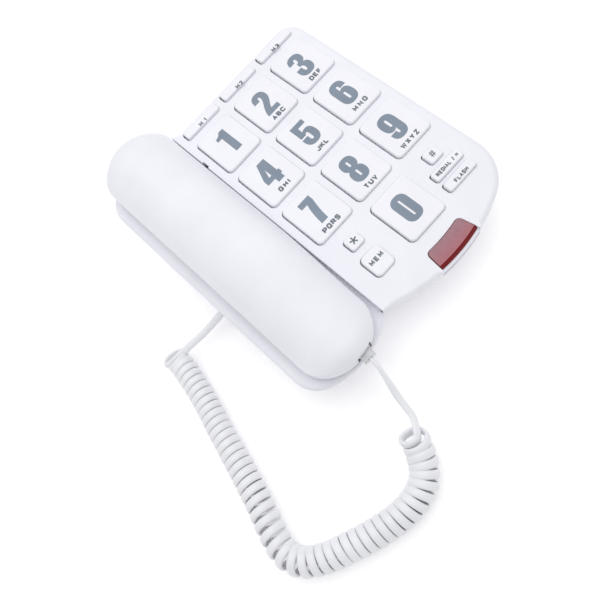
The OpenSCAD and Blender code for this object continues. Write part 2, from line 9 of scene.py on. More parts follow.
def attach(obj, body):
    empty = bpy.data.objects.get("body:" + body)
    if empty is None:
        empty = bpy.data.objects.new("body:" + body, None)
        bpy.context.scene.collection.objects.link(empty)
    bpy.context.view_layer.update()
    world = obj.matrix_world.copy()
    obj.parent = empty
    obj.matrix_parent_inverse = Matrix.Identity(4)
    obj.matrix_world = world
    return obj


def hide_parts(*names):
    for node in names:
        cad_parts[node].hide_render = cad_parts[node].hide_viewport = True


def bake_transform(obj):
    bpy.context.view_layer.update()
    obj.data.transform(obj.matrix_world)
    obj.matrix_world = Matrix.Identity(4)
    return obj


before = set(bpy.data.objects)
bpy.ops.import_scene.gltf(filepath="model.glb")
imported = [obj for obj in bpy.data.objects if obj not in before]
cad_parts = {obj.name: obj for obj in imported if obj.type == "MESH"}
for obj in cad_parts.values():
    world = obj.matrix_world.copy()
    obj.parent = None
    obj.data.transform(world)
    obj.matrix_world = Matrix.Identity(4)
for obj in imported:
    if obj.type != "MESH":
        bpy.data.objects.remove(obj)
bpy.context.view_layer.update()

# All lengths below are millimetres; MM turns them into the frame's metres.
MM = 0.001

# ---------------------------------------------------------------- deck frame
# The sloping deck has its own axes: u to the right, v up the slope, w square to it.
DECK_H = 45.0
DECK_TILT = math.radians(7.0)
TILT_S, TILT_C = math.sin(DECK_TILT), math.cos(DECK_TILT)


def to_part(points):
    """Deck coordinates to the part's own coordinates, both in millimetres."""
    p = np.asarray(points, float)
    return np.stack([p[..., 0], p[..., 1] * TILT_C - p[..., 2] * TILT_S,
                     DECK_H + p[..., 1] * TILT_S + p[..., 2] * TILT_C], -1)


def to_deck(points):
    p = np.asarray(points, float) - [0, 0, DECK_H]
    return np.stack([p[..., 0], p[..., 1] * TILT_C + p[..., 2] * TILT_S,
                     -p[..., 1] * TILT_S + p[..., 2] * TILT_C], -1)


def deck_box(node):
    """Lowest and highest corner of a CAD node in deck coordinates, millimetres."""
    co = np.array([v.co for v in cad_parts[node].data.vertices]) / MM
    d = to_deck(co)
    return d.min(0), d.max(0)


def link(name, data):
    """A new object of this mesh, light or camera, placed in the scene."""
    obj = bpy.data.objects.new(name, data)
    bpy.context.scene.collection.objects.link(obj)
    return obj


# ---------------------------------------------------------------- camera
CAM_TARGET = (-48.1, -52.4, 30.0)
CAM_DISTANCE = 336.7
CAM_AZIMUTH = 8.5
CAM_ELEVATION = 62.67
CAM_ROLL = -40.2
CAM_LENS = 35.29


def make_camera():
    a, e, r = (math.radians(x) for x in (CAM_AZIMUTH, CAM_ELEVATION, CAM_ROLL))
    forward = Vector((math.sin(a) * math.cos(e), math.cos(a) * math.cos(e), -math.sin(e)))
    level = forward.cross(Vector((0, 0, 1))).normalized()
    upward = level.cross(forward)
    right = level * math.cos(r) + upward * math.sin(r)
    up = right.cross(forward)
    data = bpy.data.cameras.new("camera")
    data.sensor_width = 36.0
    data.lens = CAM_LENS
    data.clip_start = 0.01
    data.clip_end = 20.0
    cam = link("camera", data)
    rot = Matrix((right, up, -forward)).transposed().to_4x4()
    cam.matrix_world = Matrix.Translation((Vector(CAM_TARGET) - forward * CAM_DISTANCE) * MM) @ rot
    bpy.context.scene.camera = cam


make_camera()

# ---------------------------------------------------------------- materials
PLASTIC_IOR = 1.49
# Scale of the faint clouds of tone on moulded plastic
CLOUDS = 45.0


def new_material(name):
    m = bpy.data.materials.new(name)
    m.use_nodes = True
    nt = m.node_tree
    return m, nt, nt.nodes["Principled BSDF"]


def noise(nt, scale, detail=4.0, rough=0.5):
    tc = nt.nodes.new("ShaderNodeTexCoord")
    n = nt.nodes.new("ShaderNodeTexNoise")
    n.inputs["Scale"].default_value = scale
    n.inputs["Detail"].default_value = detail
    n.inputs["Roughness"].default_value = rough
    nt.links.new(tc.outputs["Object"], n.inputs["Vector"])
    return n.outputs["Fac"]


def ramp(nt, fac, stops):
    r = nt.nodes.new("ShaderNodeValToRGB")
    e = r.color_ramp.elements
    while len(e) < len(stops):
        e.new(0.5)
    for k, (pos, col) in enumerate(stops):
        e[k].position = pos
        e[k].color = (*col, 1.0)
    nt.links.new(fac, r.inputs["Fac"])
    return r.outputs["Color"]


def remap(nt, fac, lo, hi):
    m = nt.nodes.new("ShaderNodeMapRange")
    m.inputs["To Min"].default_value = lo
    m.inputs["To Max"].default_value = hi
    nt.links.new(fac, m.inputs["Value"])
    return m.outputs["Result"]


def bump(nt, bsdf, height, strength, distance):
    b = nt.nodes.new("ShaderNodeBump")
    b.inputs["Strength"].default_value = strength
    b.inputs["Distance"].default_value = distance
    nt.links.new(height, b.inputs["Height"])
    nt.links.new(b.outputs["Normal"], bsdf.inputs["Normal"])


def plastic(name, dark, light, rough=(0.32, 0.42), grain=9000.0, depth=0.00002):
    """Moulded plastic: faint clouds of tone, uneven gloss and a fine spark-eroded grain."""
    m, nt, bsdf = new_material(name)
    cloud = noise(nt, CLOUDS, 3.0, 0.55)
    nt.links.new(ramp(nt, cloud, [(0.3, dark), (0.7, light)]), bsdf.inputs["Base Color"])
    nt.links.new(remap(nt, noise(nt, CLOUDS * 6, 2.0), *rough), bsdf.inputs["Roughness"])
    bump(nt, bsdf, noise(nt, grain, 2.0, 0.6), 0.25, depth)
    bsdf.inputs["IOR"].default_value = PLASTIC_IOR
    return m


def metal(name, dark, light, rough=(0.25, 0.45)):
    m, nt, bsdf = new_material(name)
    bsdf.inputs["Metallic"].default_value = 1.0
    nt.links.new(ramp(nt, noise(nt, 900.0, 5.0), [(0.3, dark), (0.7, light)]), bsdf.inputs["Base Color"])
    nt.links.new(remap(nt, noise(nt, 2500.0, 3.0), *rough), bsdf.inputs["Roughness"])
    bump(nt, bsdf, noise(nt, 6000.0, 2.0), 0.2, 0.00002)
    return m


def clear_plastic(name, tint, rough, transmission):
    m, nt, bsdf = new_material(name)
    dark = tuple(0.8 * c for c in tint)
    nt.links.new(ramp(nt, noise(nt, 250.0, 3.0), [(0.3, dark), (0.7, tint)]), bsdf.inputs["Base Color"])
    nt.links.new(remap(nt, noise(nt, 700.0, 2.0), rough, rough + 0.06), bsdf.inputs["Roughness"])
    bump(nt, bsdf, noise(nt, 3000.0, 2.0), 0.1, 0.00001)
    bsdf.inputs["Transmission Weight"].default_value = transmission
    bsdf.inputs["IOR"].default_value = PLASTIC_IOR
    return m


def board(name):
    """Printed circuit board: green resist over faint copper tracks."""
    m, nt, bsdf = new_material(name)
    tc = nt.nodes.new("ShaderNodeTexCoord")
    w = nt.nodes.new("ShaderNodeTexWave")
    w.inputs["Scale"].default_value = 160.0
    w.inputs["Distortion"].default_value = 3.0
    w.inputs["Detail"].default_value = 1.0
    nt.links.new(tc.outputs["Object"], w.inputs["Vector"])
    nt.links.new(ramp(nt, w.outputs["Fac"], [(0.45, (0.012, 0.10, 0.035)), (0.62, (0.03, 0.19, 0.07))]),
                 bsdf.inputs["Base Color"])
    nt.links.new(remap(nt, noise(nt, 800.0), 0.3, 0.5), bsdf.inputs["Roughness"])
    bump(nt, bsdf, w.outputs["Fac"], 0.2, 0.00004)
    return m


SHELL = plastic("shell_plastic", (0.800, 0.800, 0.862), (0.835, 0.835, 0.895))
KEYCAP = plastic("key_plastic", (0.815, 0.815, 0.870), (0.850, 0.850, 0.905), rough=(0.28, 0.38))
CORD = plastic("cord_vinyl", (0.780, 0.785, 0.815), (0.825, 0.830, 0.858), rough=(0.30, 0.42), grain=5000.0)
PRINT = plastic("legend_print", (0.190, 0.238, 0.305), (0.222, 0.272, 0.342), rough=(0.45, 0.6))
PRINT_SMALL = plastic("legend_small", (0.115, 0.140, 0.175), (0.150, 0.178, 0.215), rough=(0.45, 0.6))
BLACK = plastic("black_plastic", (0.012, 0.012, 0.013), (0.022, 0.022, 0.024), rough=(0.35, 0.55))
RUBBER = plastic("foot_rubber", (0.055, 0.056, 0.060), (0.085, 0.086, 0.09), rough=(0.7, 0.9), depth=0.00005)
MAT = plastic("mat_rubber", (0.10, 0.10, 0.11), (0.14, 0.14, 0.15), rough=(0.7, 0.9), depth=0.00005)
STEEL = metal("steel", (0.42, 0.42, 0.43), (0.58, 0.58, 0.60))
BOARD = board("circuit_board")
CLEAR = clear_plastic("plug_clear", (0.78, 0.79, 0.82), 0.2, 0.25)
LED = clear_plastic("led_plastic", (0.85, 0.03, 0.03), 0.12, 0.3)


def lens_material(name, back, front, rough):
    """Red translucent plastic, lighter and pinker towards the back than at the front."""
    m, nt, bsdf = new_material(name)
    tc = nt.nodes.new("ShaderNodeTexCoord")
    sep = nt.nodes.new("ShaderNodeSeparateXYZ")
    nt.links.new(tc.outputs["Object"], sep.inputs["Vector"])
    grade = nt.nodes.new("ShaderNodeMapRange")
    grade.inputs["From Min"].default_value = -0.088
    grade.inputs["From Max"].default_value = -0.101
    nt.links.new(sep.outputs["Y"], grade.inputs["Value"])
    mix = nt.nodes.new("ShaderNodeMix")
    mix.data_type = "RGBA"
    cloud = noise(nt, 420.0, 4.0)
    dim = tuple(0.86 * c for c in back)
    nt.links.new(grade.outputs["Result"], mix.inputs["Factor"])
    nt.links.new(ramp(nt, cloud, [(0.3, dim), (0.7, back)]), mix.inputs["A"])
    nt.links.new(ramp(nt, cloud, [(0.3, tuple(0.86 * c for c in front)), (0.7, front)]), mix.inputs["B"])
    nt.links.new(mix.outputs["Result"], bsdf.inputs["Base Color"])
    nt.links.new(remap(nt, noise(nt, 900.0, 3.0), rough, rough + 0.1), bsdf.inputs["Roughness"])
    bump(nt, bsdf, noise(nt, 2600.0, 2.0), 0.15, 0.00002)
    bsdf.inputs["IOR"].default_value = PLASTIC_IOR
    return m


LENS = lens_material("lens_plastic", (0.34, 0.165, 0.20), (0.42, 0.11, 0.13), 0.3)
# A much darker copy of the lens's red plastic, for its faces that don't face up: painted shade on its sides and
# front.
LENS_PAINTED_SHADE = lens_material("lens_painted_shade", (0.13, 0.0006, 0.002), (0.20, 0.001, 0.004), 0.2)
LENS_PAINTED_SHADE.node_tree.nodes["Principled BSDF"].inputs["Specular IOR Level"].default_value = 0.2

CAD_LOOKS = {
    "case_screws": STEEL, "keypad_screws": STEEL, "handset_screws": STEEL, "ballast_plate": STEEL,
    "handset_weight": STEEL, "hook_spring": STEEL, "keypad_mat": MAT, "keypad_board": BOARD,
    "main_board": BOARD, "board_components": BLACK, "hook_switch": BLACK, "ringer_buzzer": BLACK,
    "ringer_led": LED, "line_jack": BLACK, "base_cord_jack": BLACK, "receiver_capsule": BLACK,
    "microphone": BLACK, "handset_cord_jack": BLACK, "handset_plug": CLEAR, "base_plug": CLEAR,
    "hook_plunger": KEYCAP, "rubber_feet": RUBBER, "base_bottom_cover": SHELL,
    "base_top_cover": SHELL, "handset_back_shell": SHELL, "handset_face_shell": SHELL,
    "ringer_lens": LENS, "curly_coil": CORD, "handset_lead": CORD, "base_lead": CORD,
}
for node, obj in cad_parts.items():
    obj.data.materials.clear()
    obj.data.materials.append(CAD_LOOKS.get(node, KEYCAP))

# ---------------------------------------------------------------- mesh making


def arc(c, r, a0, a1, n):
    t = np.radians(np.linspace(a0, a1, n + 1))
    return np.stack([c[0] + r * np.cos(t), c[1] + r * np.sin(t)], -1)


def lobe(c, half_w, half_l, end_r, corner_r, n=14):
    """A long lobe with gently curved ends and rounded corners, anticlockwise."""
    dx = half_w - corner_r
    dy = math.sqrt((end_r - corner_r) ** 2 - dx * dx)
    cv = half_l - end_r + dy
    a = math.degrees(math.atan2(dy, dx))
    e = half_l - end_r
    return np.concatenate([
        arc((c[0] + dx, c[1] + cv), corner_r, 0, a, n), arc((c[0], c[1] + e), end_r, a, 180 - a, n),
        arc((c[0] - dx, c[1] + cv), corner_r, 180 - a, 180, n),
        arc((c[0] - dx, c[1] - cv), corner_r, 180, 180 + a, n),
        arc((c[0], c[1] - e), end_r, 180 + a, 360 - a, n),
        arc((c[0] + dx, c[1] - cv), corner_r, 360 - a, 360, n)])


def rounded_rect(c, size, r, n=6):
    hx, hy = size[0] / 2 - r, size[1] / 2 - r
    corners = [(hx, hy), (-hx, hy), (-hx, -hy), (hx, -hy)]
    return np.concatenate([arc((c[0] + x, c[1] + y), r, 90 * k, 90 * k + 90, n)
                           for k, (x, y) in enumerate(corners)])


def resample(loop, step):
    """A closed loop with its points about one step apart, each side's ends kept."""
    out = []
    for p, q in zip(loop, np.roll(loop, -1, 0)):
        n = max(1, int(round(np.linalg.norm(q - p) / step)))
        if np.linalg.norm(q - p) < 1e-6:
            continue
        for k in range(n):
            out.append(p + (q - p) * k / n)
    return np.array(out)


def normals(loop):
    """Outward normals of a closed anticlockwise loop."""
    t = np.roll(loop, -1, 0) - loop
    t /= np.linalg.norm(t, axis=1)[:, None]
    m = t + np.roll(t, 1, 0)
    m /= np.linalg.norm(m, axis=1)[:, None]
    cosine = np.clip((m * t).sum(1), 0.5, 1)
    return np.stack([m[:, 1], -m[:, 0]], -1) / cosine[:, None]


def distance(points, loop):
    """Distance of each point from a closed loop."""
    a, b = loop, np.roll(loop, -1, 0)
    d = b - a
    best = np.full(len(points), 1e9)
    for i in range(len(a)):
        w = points - a[i]
        t = np.clip((w @ d[i]) / max(d[i] @ d[i], 1e-12), 0, 1)
        best = np.minimum(best, np.linalg.norm(w - t[:, None] * d[i], axis=1))
    return best


def inside(points, loop):
    """Which points lie inside a closed loop."""
    x, y = points[:, 0], points[:, 1]
    odd = np.zeros(len(points), bool)
    for (x0, y0), (x1, y1) in zip(loop, np.roll(loop, -1, 0)):
        cross = (y0 > y) != (y1 > y)
        if y1 != y0:
            odd ^= cross & (x < (x1 - x0) * (y - y0) / (y1 - y0) + x0)
    return odd


class Builder:
    """Gathers vertices and faces, then makes an object of them in the part's own frame."""

    def __init__(self):
        self.v, self.f = [], []

    def ring(self, points):
        k = len(self.v)
        self.v.extend(np.asarray(points, float).tolist())
        return list(range(k, len(self.v)))

    def join(self, a, b, closed=True):
        n = len(a)
        for i in range(n if closed else n - 1):
            j = (i + 1) % n
            self.f.append((a[i], a[j], b[j], b[i]))

    def loft(self, rings, closed=True):
        ids = [self.ring(r) for r in rings]
        for a, b in zip(ids, ids[1:]):
            self.join(a, b, closed)
        return ids

    def sheet(self, loops, height, extra=None):
        """A sheet over the first loop's inside, clear of the other loops, each point at its height."""
        pts, edges = [], []
        for loop in loops:
            k = len(pts)
            pts.extend([Vector(p[:2]) for p in loop])
            edges.extend([(k + i, k + (i + 1) % len(loop)) for i in range(len(loop))])
        if extra is not None and len(extra):
            pts.extend([Vector(p) for p in extra])
        vs, _, fs, _, _, _ = delaunay_2d_cdt(pts, edges, [], 0, 1e-6)
        xy = np.array([[p.x, p.y] for p in vs])
        mid = np.array([xy[list(f)].mean(0) for f in fs])
        keep = inside(mid, np.asarray(loops[0])[:, :2])
        for loop in loops[1:]:
            keep &= ~inside(mid, np.asarray(loop)[:, :2])
        ids = self.ring(np.column_stack([xy, height(xy)]))
        for f, k in zip(fs, keep):
            if k:
                self.f.append(tuple(ids[i] for i in f))

    def build(self, name, material, body, deck=True, merge=0.004, sharp=38.0, up=None):
        v = np.array(self.v)
        if deck:
            v = to_part(v)
        mesh = bpy.data.meshes.new(name)
        mesh.from_pydata((v * MM).tolist(), [], self.f)
        bm = bmesh.new()
        bm.from_mesh(mesh)
        bmesh.ops.remove_doubles(bm, verts=bm.verts, dist=merge * MM)
        bmesh.ops.dissolve_degenerate(bm, edges=bm.edges, dist=1e-7)
        loose = [x for x in bm.verts if not x.link_faces]
        bmesh.ops.delete(bm, geom=loose, context="VERTS")
        bmesh.ops.recalc_face_normals(bm, faces=bm.faces)
        if up is not None:
            total = sum((f.normal.z * f.calc_area() for f in bm.faces if f.normal.z * up > 0.5), 0.0)
            other = sum((f.normal.z * f.calc_area() for f in bm.faces if f.normal.z * up < -0.5), 0.0)
            if abs(other) > abs(total):
                bmesh.ops.reverse_faces(bm, faces=bm.faces)
        for f in bm.faces:
            f.smooth = True
        for e in bm.edges:
            if len(e.link_faces) == 2 and e.calc_face_angle(0.0) > math.radians(sharp):
                e.smooth = False
        bm.to_mesh(mesh)
        bm.free()
        mesh.materials.append(material)
        obj = link(name, mesh)
        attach(obj, body)
        return obj


def at(loop, w):
    return np.column_stack([loop, np.full(len(loop), float(w))])


def flat(w):
    """The height of a level sheet, for Builder.sheet."""
    return lambda xy: np.full(len(xy), w)


def fillet(r, n=5):
    """Inset and drop of a quarter-round edge, from the flat top to the upright wall."""
    t = np.radians(np.linspace(0, 90, n + 1))
    return [(r * (1 - math.sin(x)), r * (1 - math.cos(x))) for x in t]


# ---------------------------------------------------------------- the cord
# The same routes as the CAD tubes, in the part's coordinates, millimetres.
HANDSET_LEAD = [[-47.5, -102.3, 32.8], [-47.5, -105.3, 32.4], [-48.5, -110, 29.5], [-50.3, -116, 24.5],
                [-52.3, -122.5, 19.5], [-53.7, -129, 16.4], [-54.9, -134.2, 15.2], [-56.3, -138.9, 14.2]]
COIL = [[-61.5, -137.5, 14], [-63.5, -143.5, 12.6], [-66.6, -149, 10.7], [-70.5, -154.5, 9],
        [-76, -158.8, 8.3], [-82, -161, 8.3], [-89, -161.8, 8.3], [-97, -161.2, 8.3], [-106, -159.2, 8.3],
        [-116, -156.2, 8.3], [-126, -152.4, 8.3], [-135, -148.8, 8.3], [-142.5, -144.6, 8.3],
        [-148.4, -139.8, 8.3], [-151.8, -133.4, 8.3], [-152, -126, 8.3], [-150, -117, 8.3],
        [-147, -107.5, 8.3], [-143.5, -95.5, 8.3], [-140.2, -82, 8.3], [-137, -68.5, 8.3],
        [-133.2, -52, 8.3], [-129.2, -36, 8.3], [-126.3, -20.5, 8.3], [-124.6, -8, 8.3], [-123.8, 4.5, 8.6]]
BASE_LEAD = [[-119.5, -2, 13.5], [-115, -2.2, 12.8], [-108, -2.4, 11.8], [-101, -2.8, 11.3],
             [-93, -3, 11.3], [-87, -3, 11.7], [-82, -3, 12], [-78.8, -3, 12]]
CORD_W = 4.7
CORD_T = 2.5
COIL_R = 8.05 - CORD_T / 2
PER_TURN = 22
# Coil axis at its two ends, where the first and last turns tip over
START_AXIS = (-0.12, -0.55, -0.83)
END_AXIS = (0.02, 0.45, 0.89)
START_TIP = 16.0
END_TIP = 13.0


def unit(v):
    v = np.asarray(v, float)
    return v / np.linalg.norm(v, axis=-1, keepdims=True)


def spline(points, step):
    """A centripetal Catmull-Rom curve through the points, resampled at about one step."""
    p = np.asarray(points, float)
    p = np.vstack([2 * p[0] - p[1], p, 2 * p[-1] - p[-2]])
    out = []
    for i in range(1, len(p) - 2):
        a, b, c, d = p[i - 1:i + 3]
        t0 = 0.0
        t1 = t0 + np.linalg.norm(b - a) ** 0.5
        t2 = t1 + np.linalg.norm(c - b) ** 0.5
        t3 = t2 + np.linalg.norm(d - c) ** 0.5
        n = max(2, int(np.linalg.norm(c - b) / step) * 2)
        for t in np.linspace(t1, t2, n, endpoint=False):
            a1 = (t1 - t) / (t1 - t0) * a + (t - t0) / (t1 - t0) * b
            a2 = (t2 - t) / (t2 - t1) * b + (t - t1) / (t2 - t1) * c
            a3 = (t3 - t) / (t3 - t2) * c + (t - t2) / (t3 - t2) * d
            b1 = (t2 - t) / (t2 - t0) * a1 + (t - t0) / (t2 - t0) * a2
            b2 = (t3 - t) / (t3 - t1) * a2 + (t - t1) / (t3 - t1) * a3
            out.append((t2 - t) / (t2 - t1) * b1 + (t - t1) / (t2 - t1) * b2)
    out.append(p[-2])
    out = np.array(out)
    s = np.concatenate([[0], np.cumsum(np.linalg.norm(np.diff(out, axis=0), axis=1))])
    want = np.linspace(0, s[-1], max(2, int(round(s[-1] / step)) + 1))
    return np.column_stack([np.interp(want, s, out[:, k]) for k in range(3)])


def smooth(t):
    t = np.clip(t, 0, 1)
    return t * t * (3 - 2 * t)


def pitch_at(s, total):
    """Distance between turns along the coil: tight where it lies straight, open at its bends."""
    p = 4.95 + 1.5 * math.exp(-((s - 128) / 22) ** 2) + 1.6 * math.exp(-(s / 12) ** 2)
    return p + 1.6 * math.exp(-((total - s) / 9) ** 2)


def coil_points():
    """Points and outward directions along the helix, and its number of turns."""
    line = spline(COIL, 0.25)
    s = np.concatenate([[0], np.cumsum(np.linalg.norm(np.diff(line, axis=0), axis=1))])
    total = s[-1]
    tang = unit(np.gradient(line, s, axis=0))
    a0 = smooth(1 - s / START_TIP)[:, None]
    a1 = smooth(1 - (total - s) / END_TIP)[:, None]
    axis = unit(tang * (1 - a0) + np.array(START_AXIS) * a0)
    axis = unit(axis * (1 - a1) + np.array(END_AXIS) * a1)
    # A frame that doesn't twist, carried along the axis directions
    side = np.zeros_like(axis)
    side[0] = unit(np.cross(axis[0], [0, 0, 1]))
    for i in range(1, len(axis)):
        side[i] = unit(side[i - 1] - axis[i] * (side[i - 1] @ axis[i]))
    up = np.cross(axis, side)
    # Turn count along the line
    turn = np.concatenate([[0], np.cumsum(np.diff(s) / [pitch_at(x, total) for x in s[:-1]])])
    # The first point lies towards the end of the handset lead, the last one on top
    first = np.array([5.2, -1.4, 0.2])
    phi0 = math.atan2(first @ up[0], first @ side[0])
    last = math.atan2(np.array([0, -0.3, 1.0]) @ up[-1], np.array([0, -0.3, 1.0]) @ side[-1])
    turns = turn[-1]
    whole = round(turns - (last - phi0) / (2 * math.pi)) + (last - phi0) / (2 * math.pi)
    turn *= whole / turns
    count = int(whole * PER_TURN)
    want = np.linspace(0, whole, count + 1)
    st = np.interp(want, turn, s)

    def along(field):
        return np.column_stack([np.interp(st, s, field[:, k]) for k in range(3)])

    c, x, y = along(line), unit(along(side)), unit(along(up))
    phi = phi0 + 2 * math.pi * want
    radius = COIL_R - 0.25 * smooth((st - 150) / 60) + 0.9 * np.exp(-((total - st) / 4.0) ** 2)
    out = np.cos(phi)[:, None] * x + np.sin(phi)[:, None] * y
    return c + radius[:, None] * out, out, whole


helix, helix_out, coil_turns = coil_points()


def flat_normals(tang, keys):
    """Outward directions along a lead, turned smoothly between the key directions."""
    n = len(tang)
    pos = np.array([k for k, _ in keys])
    vec = unit(np.array([v for _, v in keys]))
    t = np.linspace(0, 1, n)
    raw = np.column_stack([np.interp(t, pos, vec[:, k]) for k in range(3)])
    raw -= tang * (raw * tang).sum(1)[:, None]
    return unit(raw)


def cord_path():
    skip = 5
    a = spline(np.vstack([HANDSET_LEAD[:-1], helix[skip:skip + 3]]), 1.6)
    b = spline(np.vstack([helix[-skip - 2:-skip + 1], BASE_LEAD[1:]]), 1.6)
    mid = helix[skip:len(helix) - skip]
    end_a = np.argmin(np.linalg.norm(a - mid[0], axis=1))
    start_b = np.argmin(np.linalg.norm(b - mid[-1], axis=1))
    a, b = a[:end_a], b[start_b + 1:]
    pts = np.vstack([a, mid, b])
    tang = unit(np.gradient(pts, axis=0))
    na = flat_normals(tang[:len(a)], [(0, (1, 0, 0.1)), (0.12, (1, 0, 0.25)), (0.45, (0.55, -0.1, 0.8)),
                                      (0.8, (0.75, -0.3, 0.6)), (1, helix_out[skip])])
    nm = helix_out[skip:len(helix) - skip]
    nm = unit(nm - tang[len(a):len(a) + len(mid)] * (nm * tang[len(a):len(a) + len(mid)]).sum(1)[:, None])
    nb = flat_normals(tang[len(a) + len(mid):], [(0, helix_out[-skip - 1]), (0.15, (0, -0.5, 0.85)),
                                                    (0.75, (0, -0.4, 0.9)), (1, (0, 0, 1))])
    return pts, tang, np.vstack([na, nm, nb])


cord_pts, cord_tan, cord_out = cord_path()


def strap_section():
    """Cross-section of the flat cord: width, thickness, a domed outer face and rounded edges."""
    t = np.radians(np.arange(0, 360, 30) + 15)
    x = np.sign(np.cos(t)) * np.abs(np.cos(t)) ** 0.72 * CORD_W / 2
    y = np.sign(np.sin(t)) * np.abs(np.sin(t)) ** 0.85 * CORD_T / 2
    return np.column_stack([x, y])


def make_cord():
    b = Builder()
    across = unit(np.cross(cord_tan, cord_out))
    sec = strap_section()
    rings = [p + sec[:, :1] * a + sec[:, 1:] * o for p, a, o in zip(cord_pts, across, cord_out)]
    ids = b.loft(rings)
    b.f.append(tuple(ids[0]))
    b.f.append(tuple(reversed(ids[-1])))
    mesh = bpy.data.meshes.new("handset_cord")
    mesh.from_pydata((np.array(b.v) * MM).tolist(), [], b.f)
    bm = bmesh.new()
    bm.from_mesh(mesh)
    bmesh.ops.recalc_face_normals(bm, faces=bm.faces)
    for f in bm.faces:
        f.smooth = True
    bm.to_mesh(mesh)
    bm.free()
    mesh.materials.append(CORD)
    obj = link("handset_cord", mesh)
    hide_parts("curly_coil", "handset_lead", "base_lead")
    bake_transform(obj)
    length = float(np.linalg.norm(np.diff(cord_pts, axis=0), axis=1).sum()) * MM
    return length


cord_length = make_cord()

# ---------------------------------------------------------------- base outline
FRONT_C, FRONT_R = (25.0, 3.5), 105.5
RIGHT, BACK = 84.0, 84.0
FRONT_CORNER_R, BACK_CORNER_R = 30.0, 13.0
CRADLE = dict(c=(-52.0, -1.75), half_w=31.5, half_l=98.25, end_r=52.0, corner_r=18.0)
NOTCH_R = 3.0
STEP_U = -24.0
LEDGE_W = -6.0
PARTING_W = -12.0


def keypad_outline():
    cu = RIGHT - FRONT_CORNER_R
    ca = -math.acos((cu - FRONT_C[0]) / (FRONT_R - FRONT_CORNER_R))
    cc = (FRONT_C[0] + (FRONT_R - FRONT_CORNER_R) * math.cos(ca),
          FRONT_C[1] + (FRONT_R - FRONT_CORNER_R) * math.sin(ca))
    a0 = -180 + math.degrees(math.acos((FRONT_C[0] + 28) / FRONT_R))
    return np.concatenate([
        arc(FRONT_C, FRONT_R, a0, math.degrees(ca), 60), arc(cc, FRONT_CORNER_R, math.degrees(ca), 0, 28)[1:],
        arc((RIGHT - BACK_CORNER_R, BACK - BACK_CORNER_R), BACK_CORNER_R, 0, 90, 14), [[-28.0, BACK]]])


def union_outline():
    """The base's plan: both lobes, with the two notches between them filled to a small radius."""
    k = resample(keypad_outline(), 0.7)
    c = resample(lobe(**CRADLE), 0.7)

    def outer(a, b):
        n = normals(a)
        q = a + NOTCH_R * n
        free = ~inside(q, b) & (distance(q, b) >= NOTCH_R)
        start = next(i for i in range(len(a)) if free[i] and not free[i - 1])
        run = [(start + j) % len(a) for j in range(len(a))]
        keep = []
        for i in run:
            if not free[i]:
                break
            keep.append(i)
        return a[keep], n[keep]

    ka, kn = outer(k, c)
    ca, cn = outer(c, k)
    out = []
    for (p, n, q, m) in ((ka, kn, ca, cn), (ca, cn, ka, kn)):
        out.append(p)
        centre = (p[-1] + NOTCH_R * n[-1] + q[0] + NOTCH_R * m[0]) / 2
        a0 = math.degrees(math.atan2(*(p[-1] - centre)[::-1]))
        a1 = math.degrees(math.atan2(*(q[0] - centre)[::-1]))
        turn = (a1 - a0 + 180) % 360 - 180
        out.append(arc(centre, NOTCH_R, a0, a0 + turn, 8)[1:-1])
    loop = np.concatenate(out)
    for _ in range(3):
        loop = 0.5 * loop + 0.25 * (np.roll(loop, 1, 0) + np.roll(loop, -1, 0))
    return loop


OUTLINE = resample(union_outline(), 1.4)
OUT_N = normals(OUTLINE)


def split_outline():
    """The outline in two runs: the deck's, front to back on the right, and the ledge's."""
    right = OUTLINE[:, 0] > STEP_U
    start = next(i for i in range(len(OUTLINE)) if right[i] and not right[i - 1])
    roll = np.roll(OUTLINE, -start, 0)
    n = int(right.sum())

    def on_step(a, b):
        t = (STEP_U - a[0]) / (b[0] - a[0])
        return a + t * (b - a)

    front = on_step(roll[-1], roll[0])
    back = on_step(roll[n - 1], roll[n])
    return np.vstack([[front], roll[:n], [back]]), np.vstack([[back], roll[n:], [front]])


DECK_RUN, LEDGE_RUN = split_outline()
KEYS = ["key_1", "key_2", "key_3", "key_4", "key_5", "key_6", "key_7", "key_8", "key_9", "key_0",
        "key_star", "key_hash", "key_m1", "key_m2", "key_m3", "key_mem", "key_redial", "key_flash"]
FLANGE = 1.1
THIN_FLANGE = 0.4
KEY_DROP = 0.9
# Clearance round a key: more of it on the left, where the gap shows
GAP_LEFT, GAP_RIGHT, GAP_FRONT, GAP_BACK = 0.85, 0.22, 0.1, 0.4


def rim_of(size):
    return THIN_FLANGE if min(size) < 9 else FLANGE


def key_plan(node):
    """Centre, size and top of a key's cap, without the flange below the deck."""
    lo, hi = deck_box(node)
    size = (hi - lo)[:2]
    return (lo + hi)[:2] / 2, size - 2 * rim_of(size), hi[2] - KEY_DROP


def corner_of(size):
    return 3.0 if min(size) > 12 else 1.6


# ---------------------------------------------------------------- base top cover


def edge_scale(loop, full_len=9.0, low=0.16, sharp_pts=()):
    """How large the edge rounding is at each point: small near the given points."""
    d = np.min([np.linalg.norm(loop - np.asarray(q), axis=1) for q in sharp_pts], axis=0)
    return low + (1 - low) * smooth(d / full_len)


# The lens is a slice of the front arc: its ends as angles about the arc's centre
LENS_ANGLES = (-96.4, -79.9)
LENS_BACK_R = 91.9
LENS_GAP = 0.3
LENS_CORNER = 2.6
# The slot beside the step cuts a little way into the deck
SLOT_U, SLOT_V = -22.9, (50.8, 56.0)


def polar(r, deg):
    return np.stack([FRONT_C[0] + r * np.cos(np.radians(deg)), FRONT_C[1] + r * np.sin(np.radians(deg))], -1)


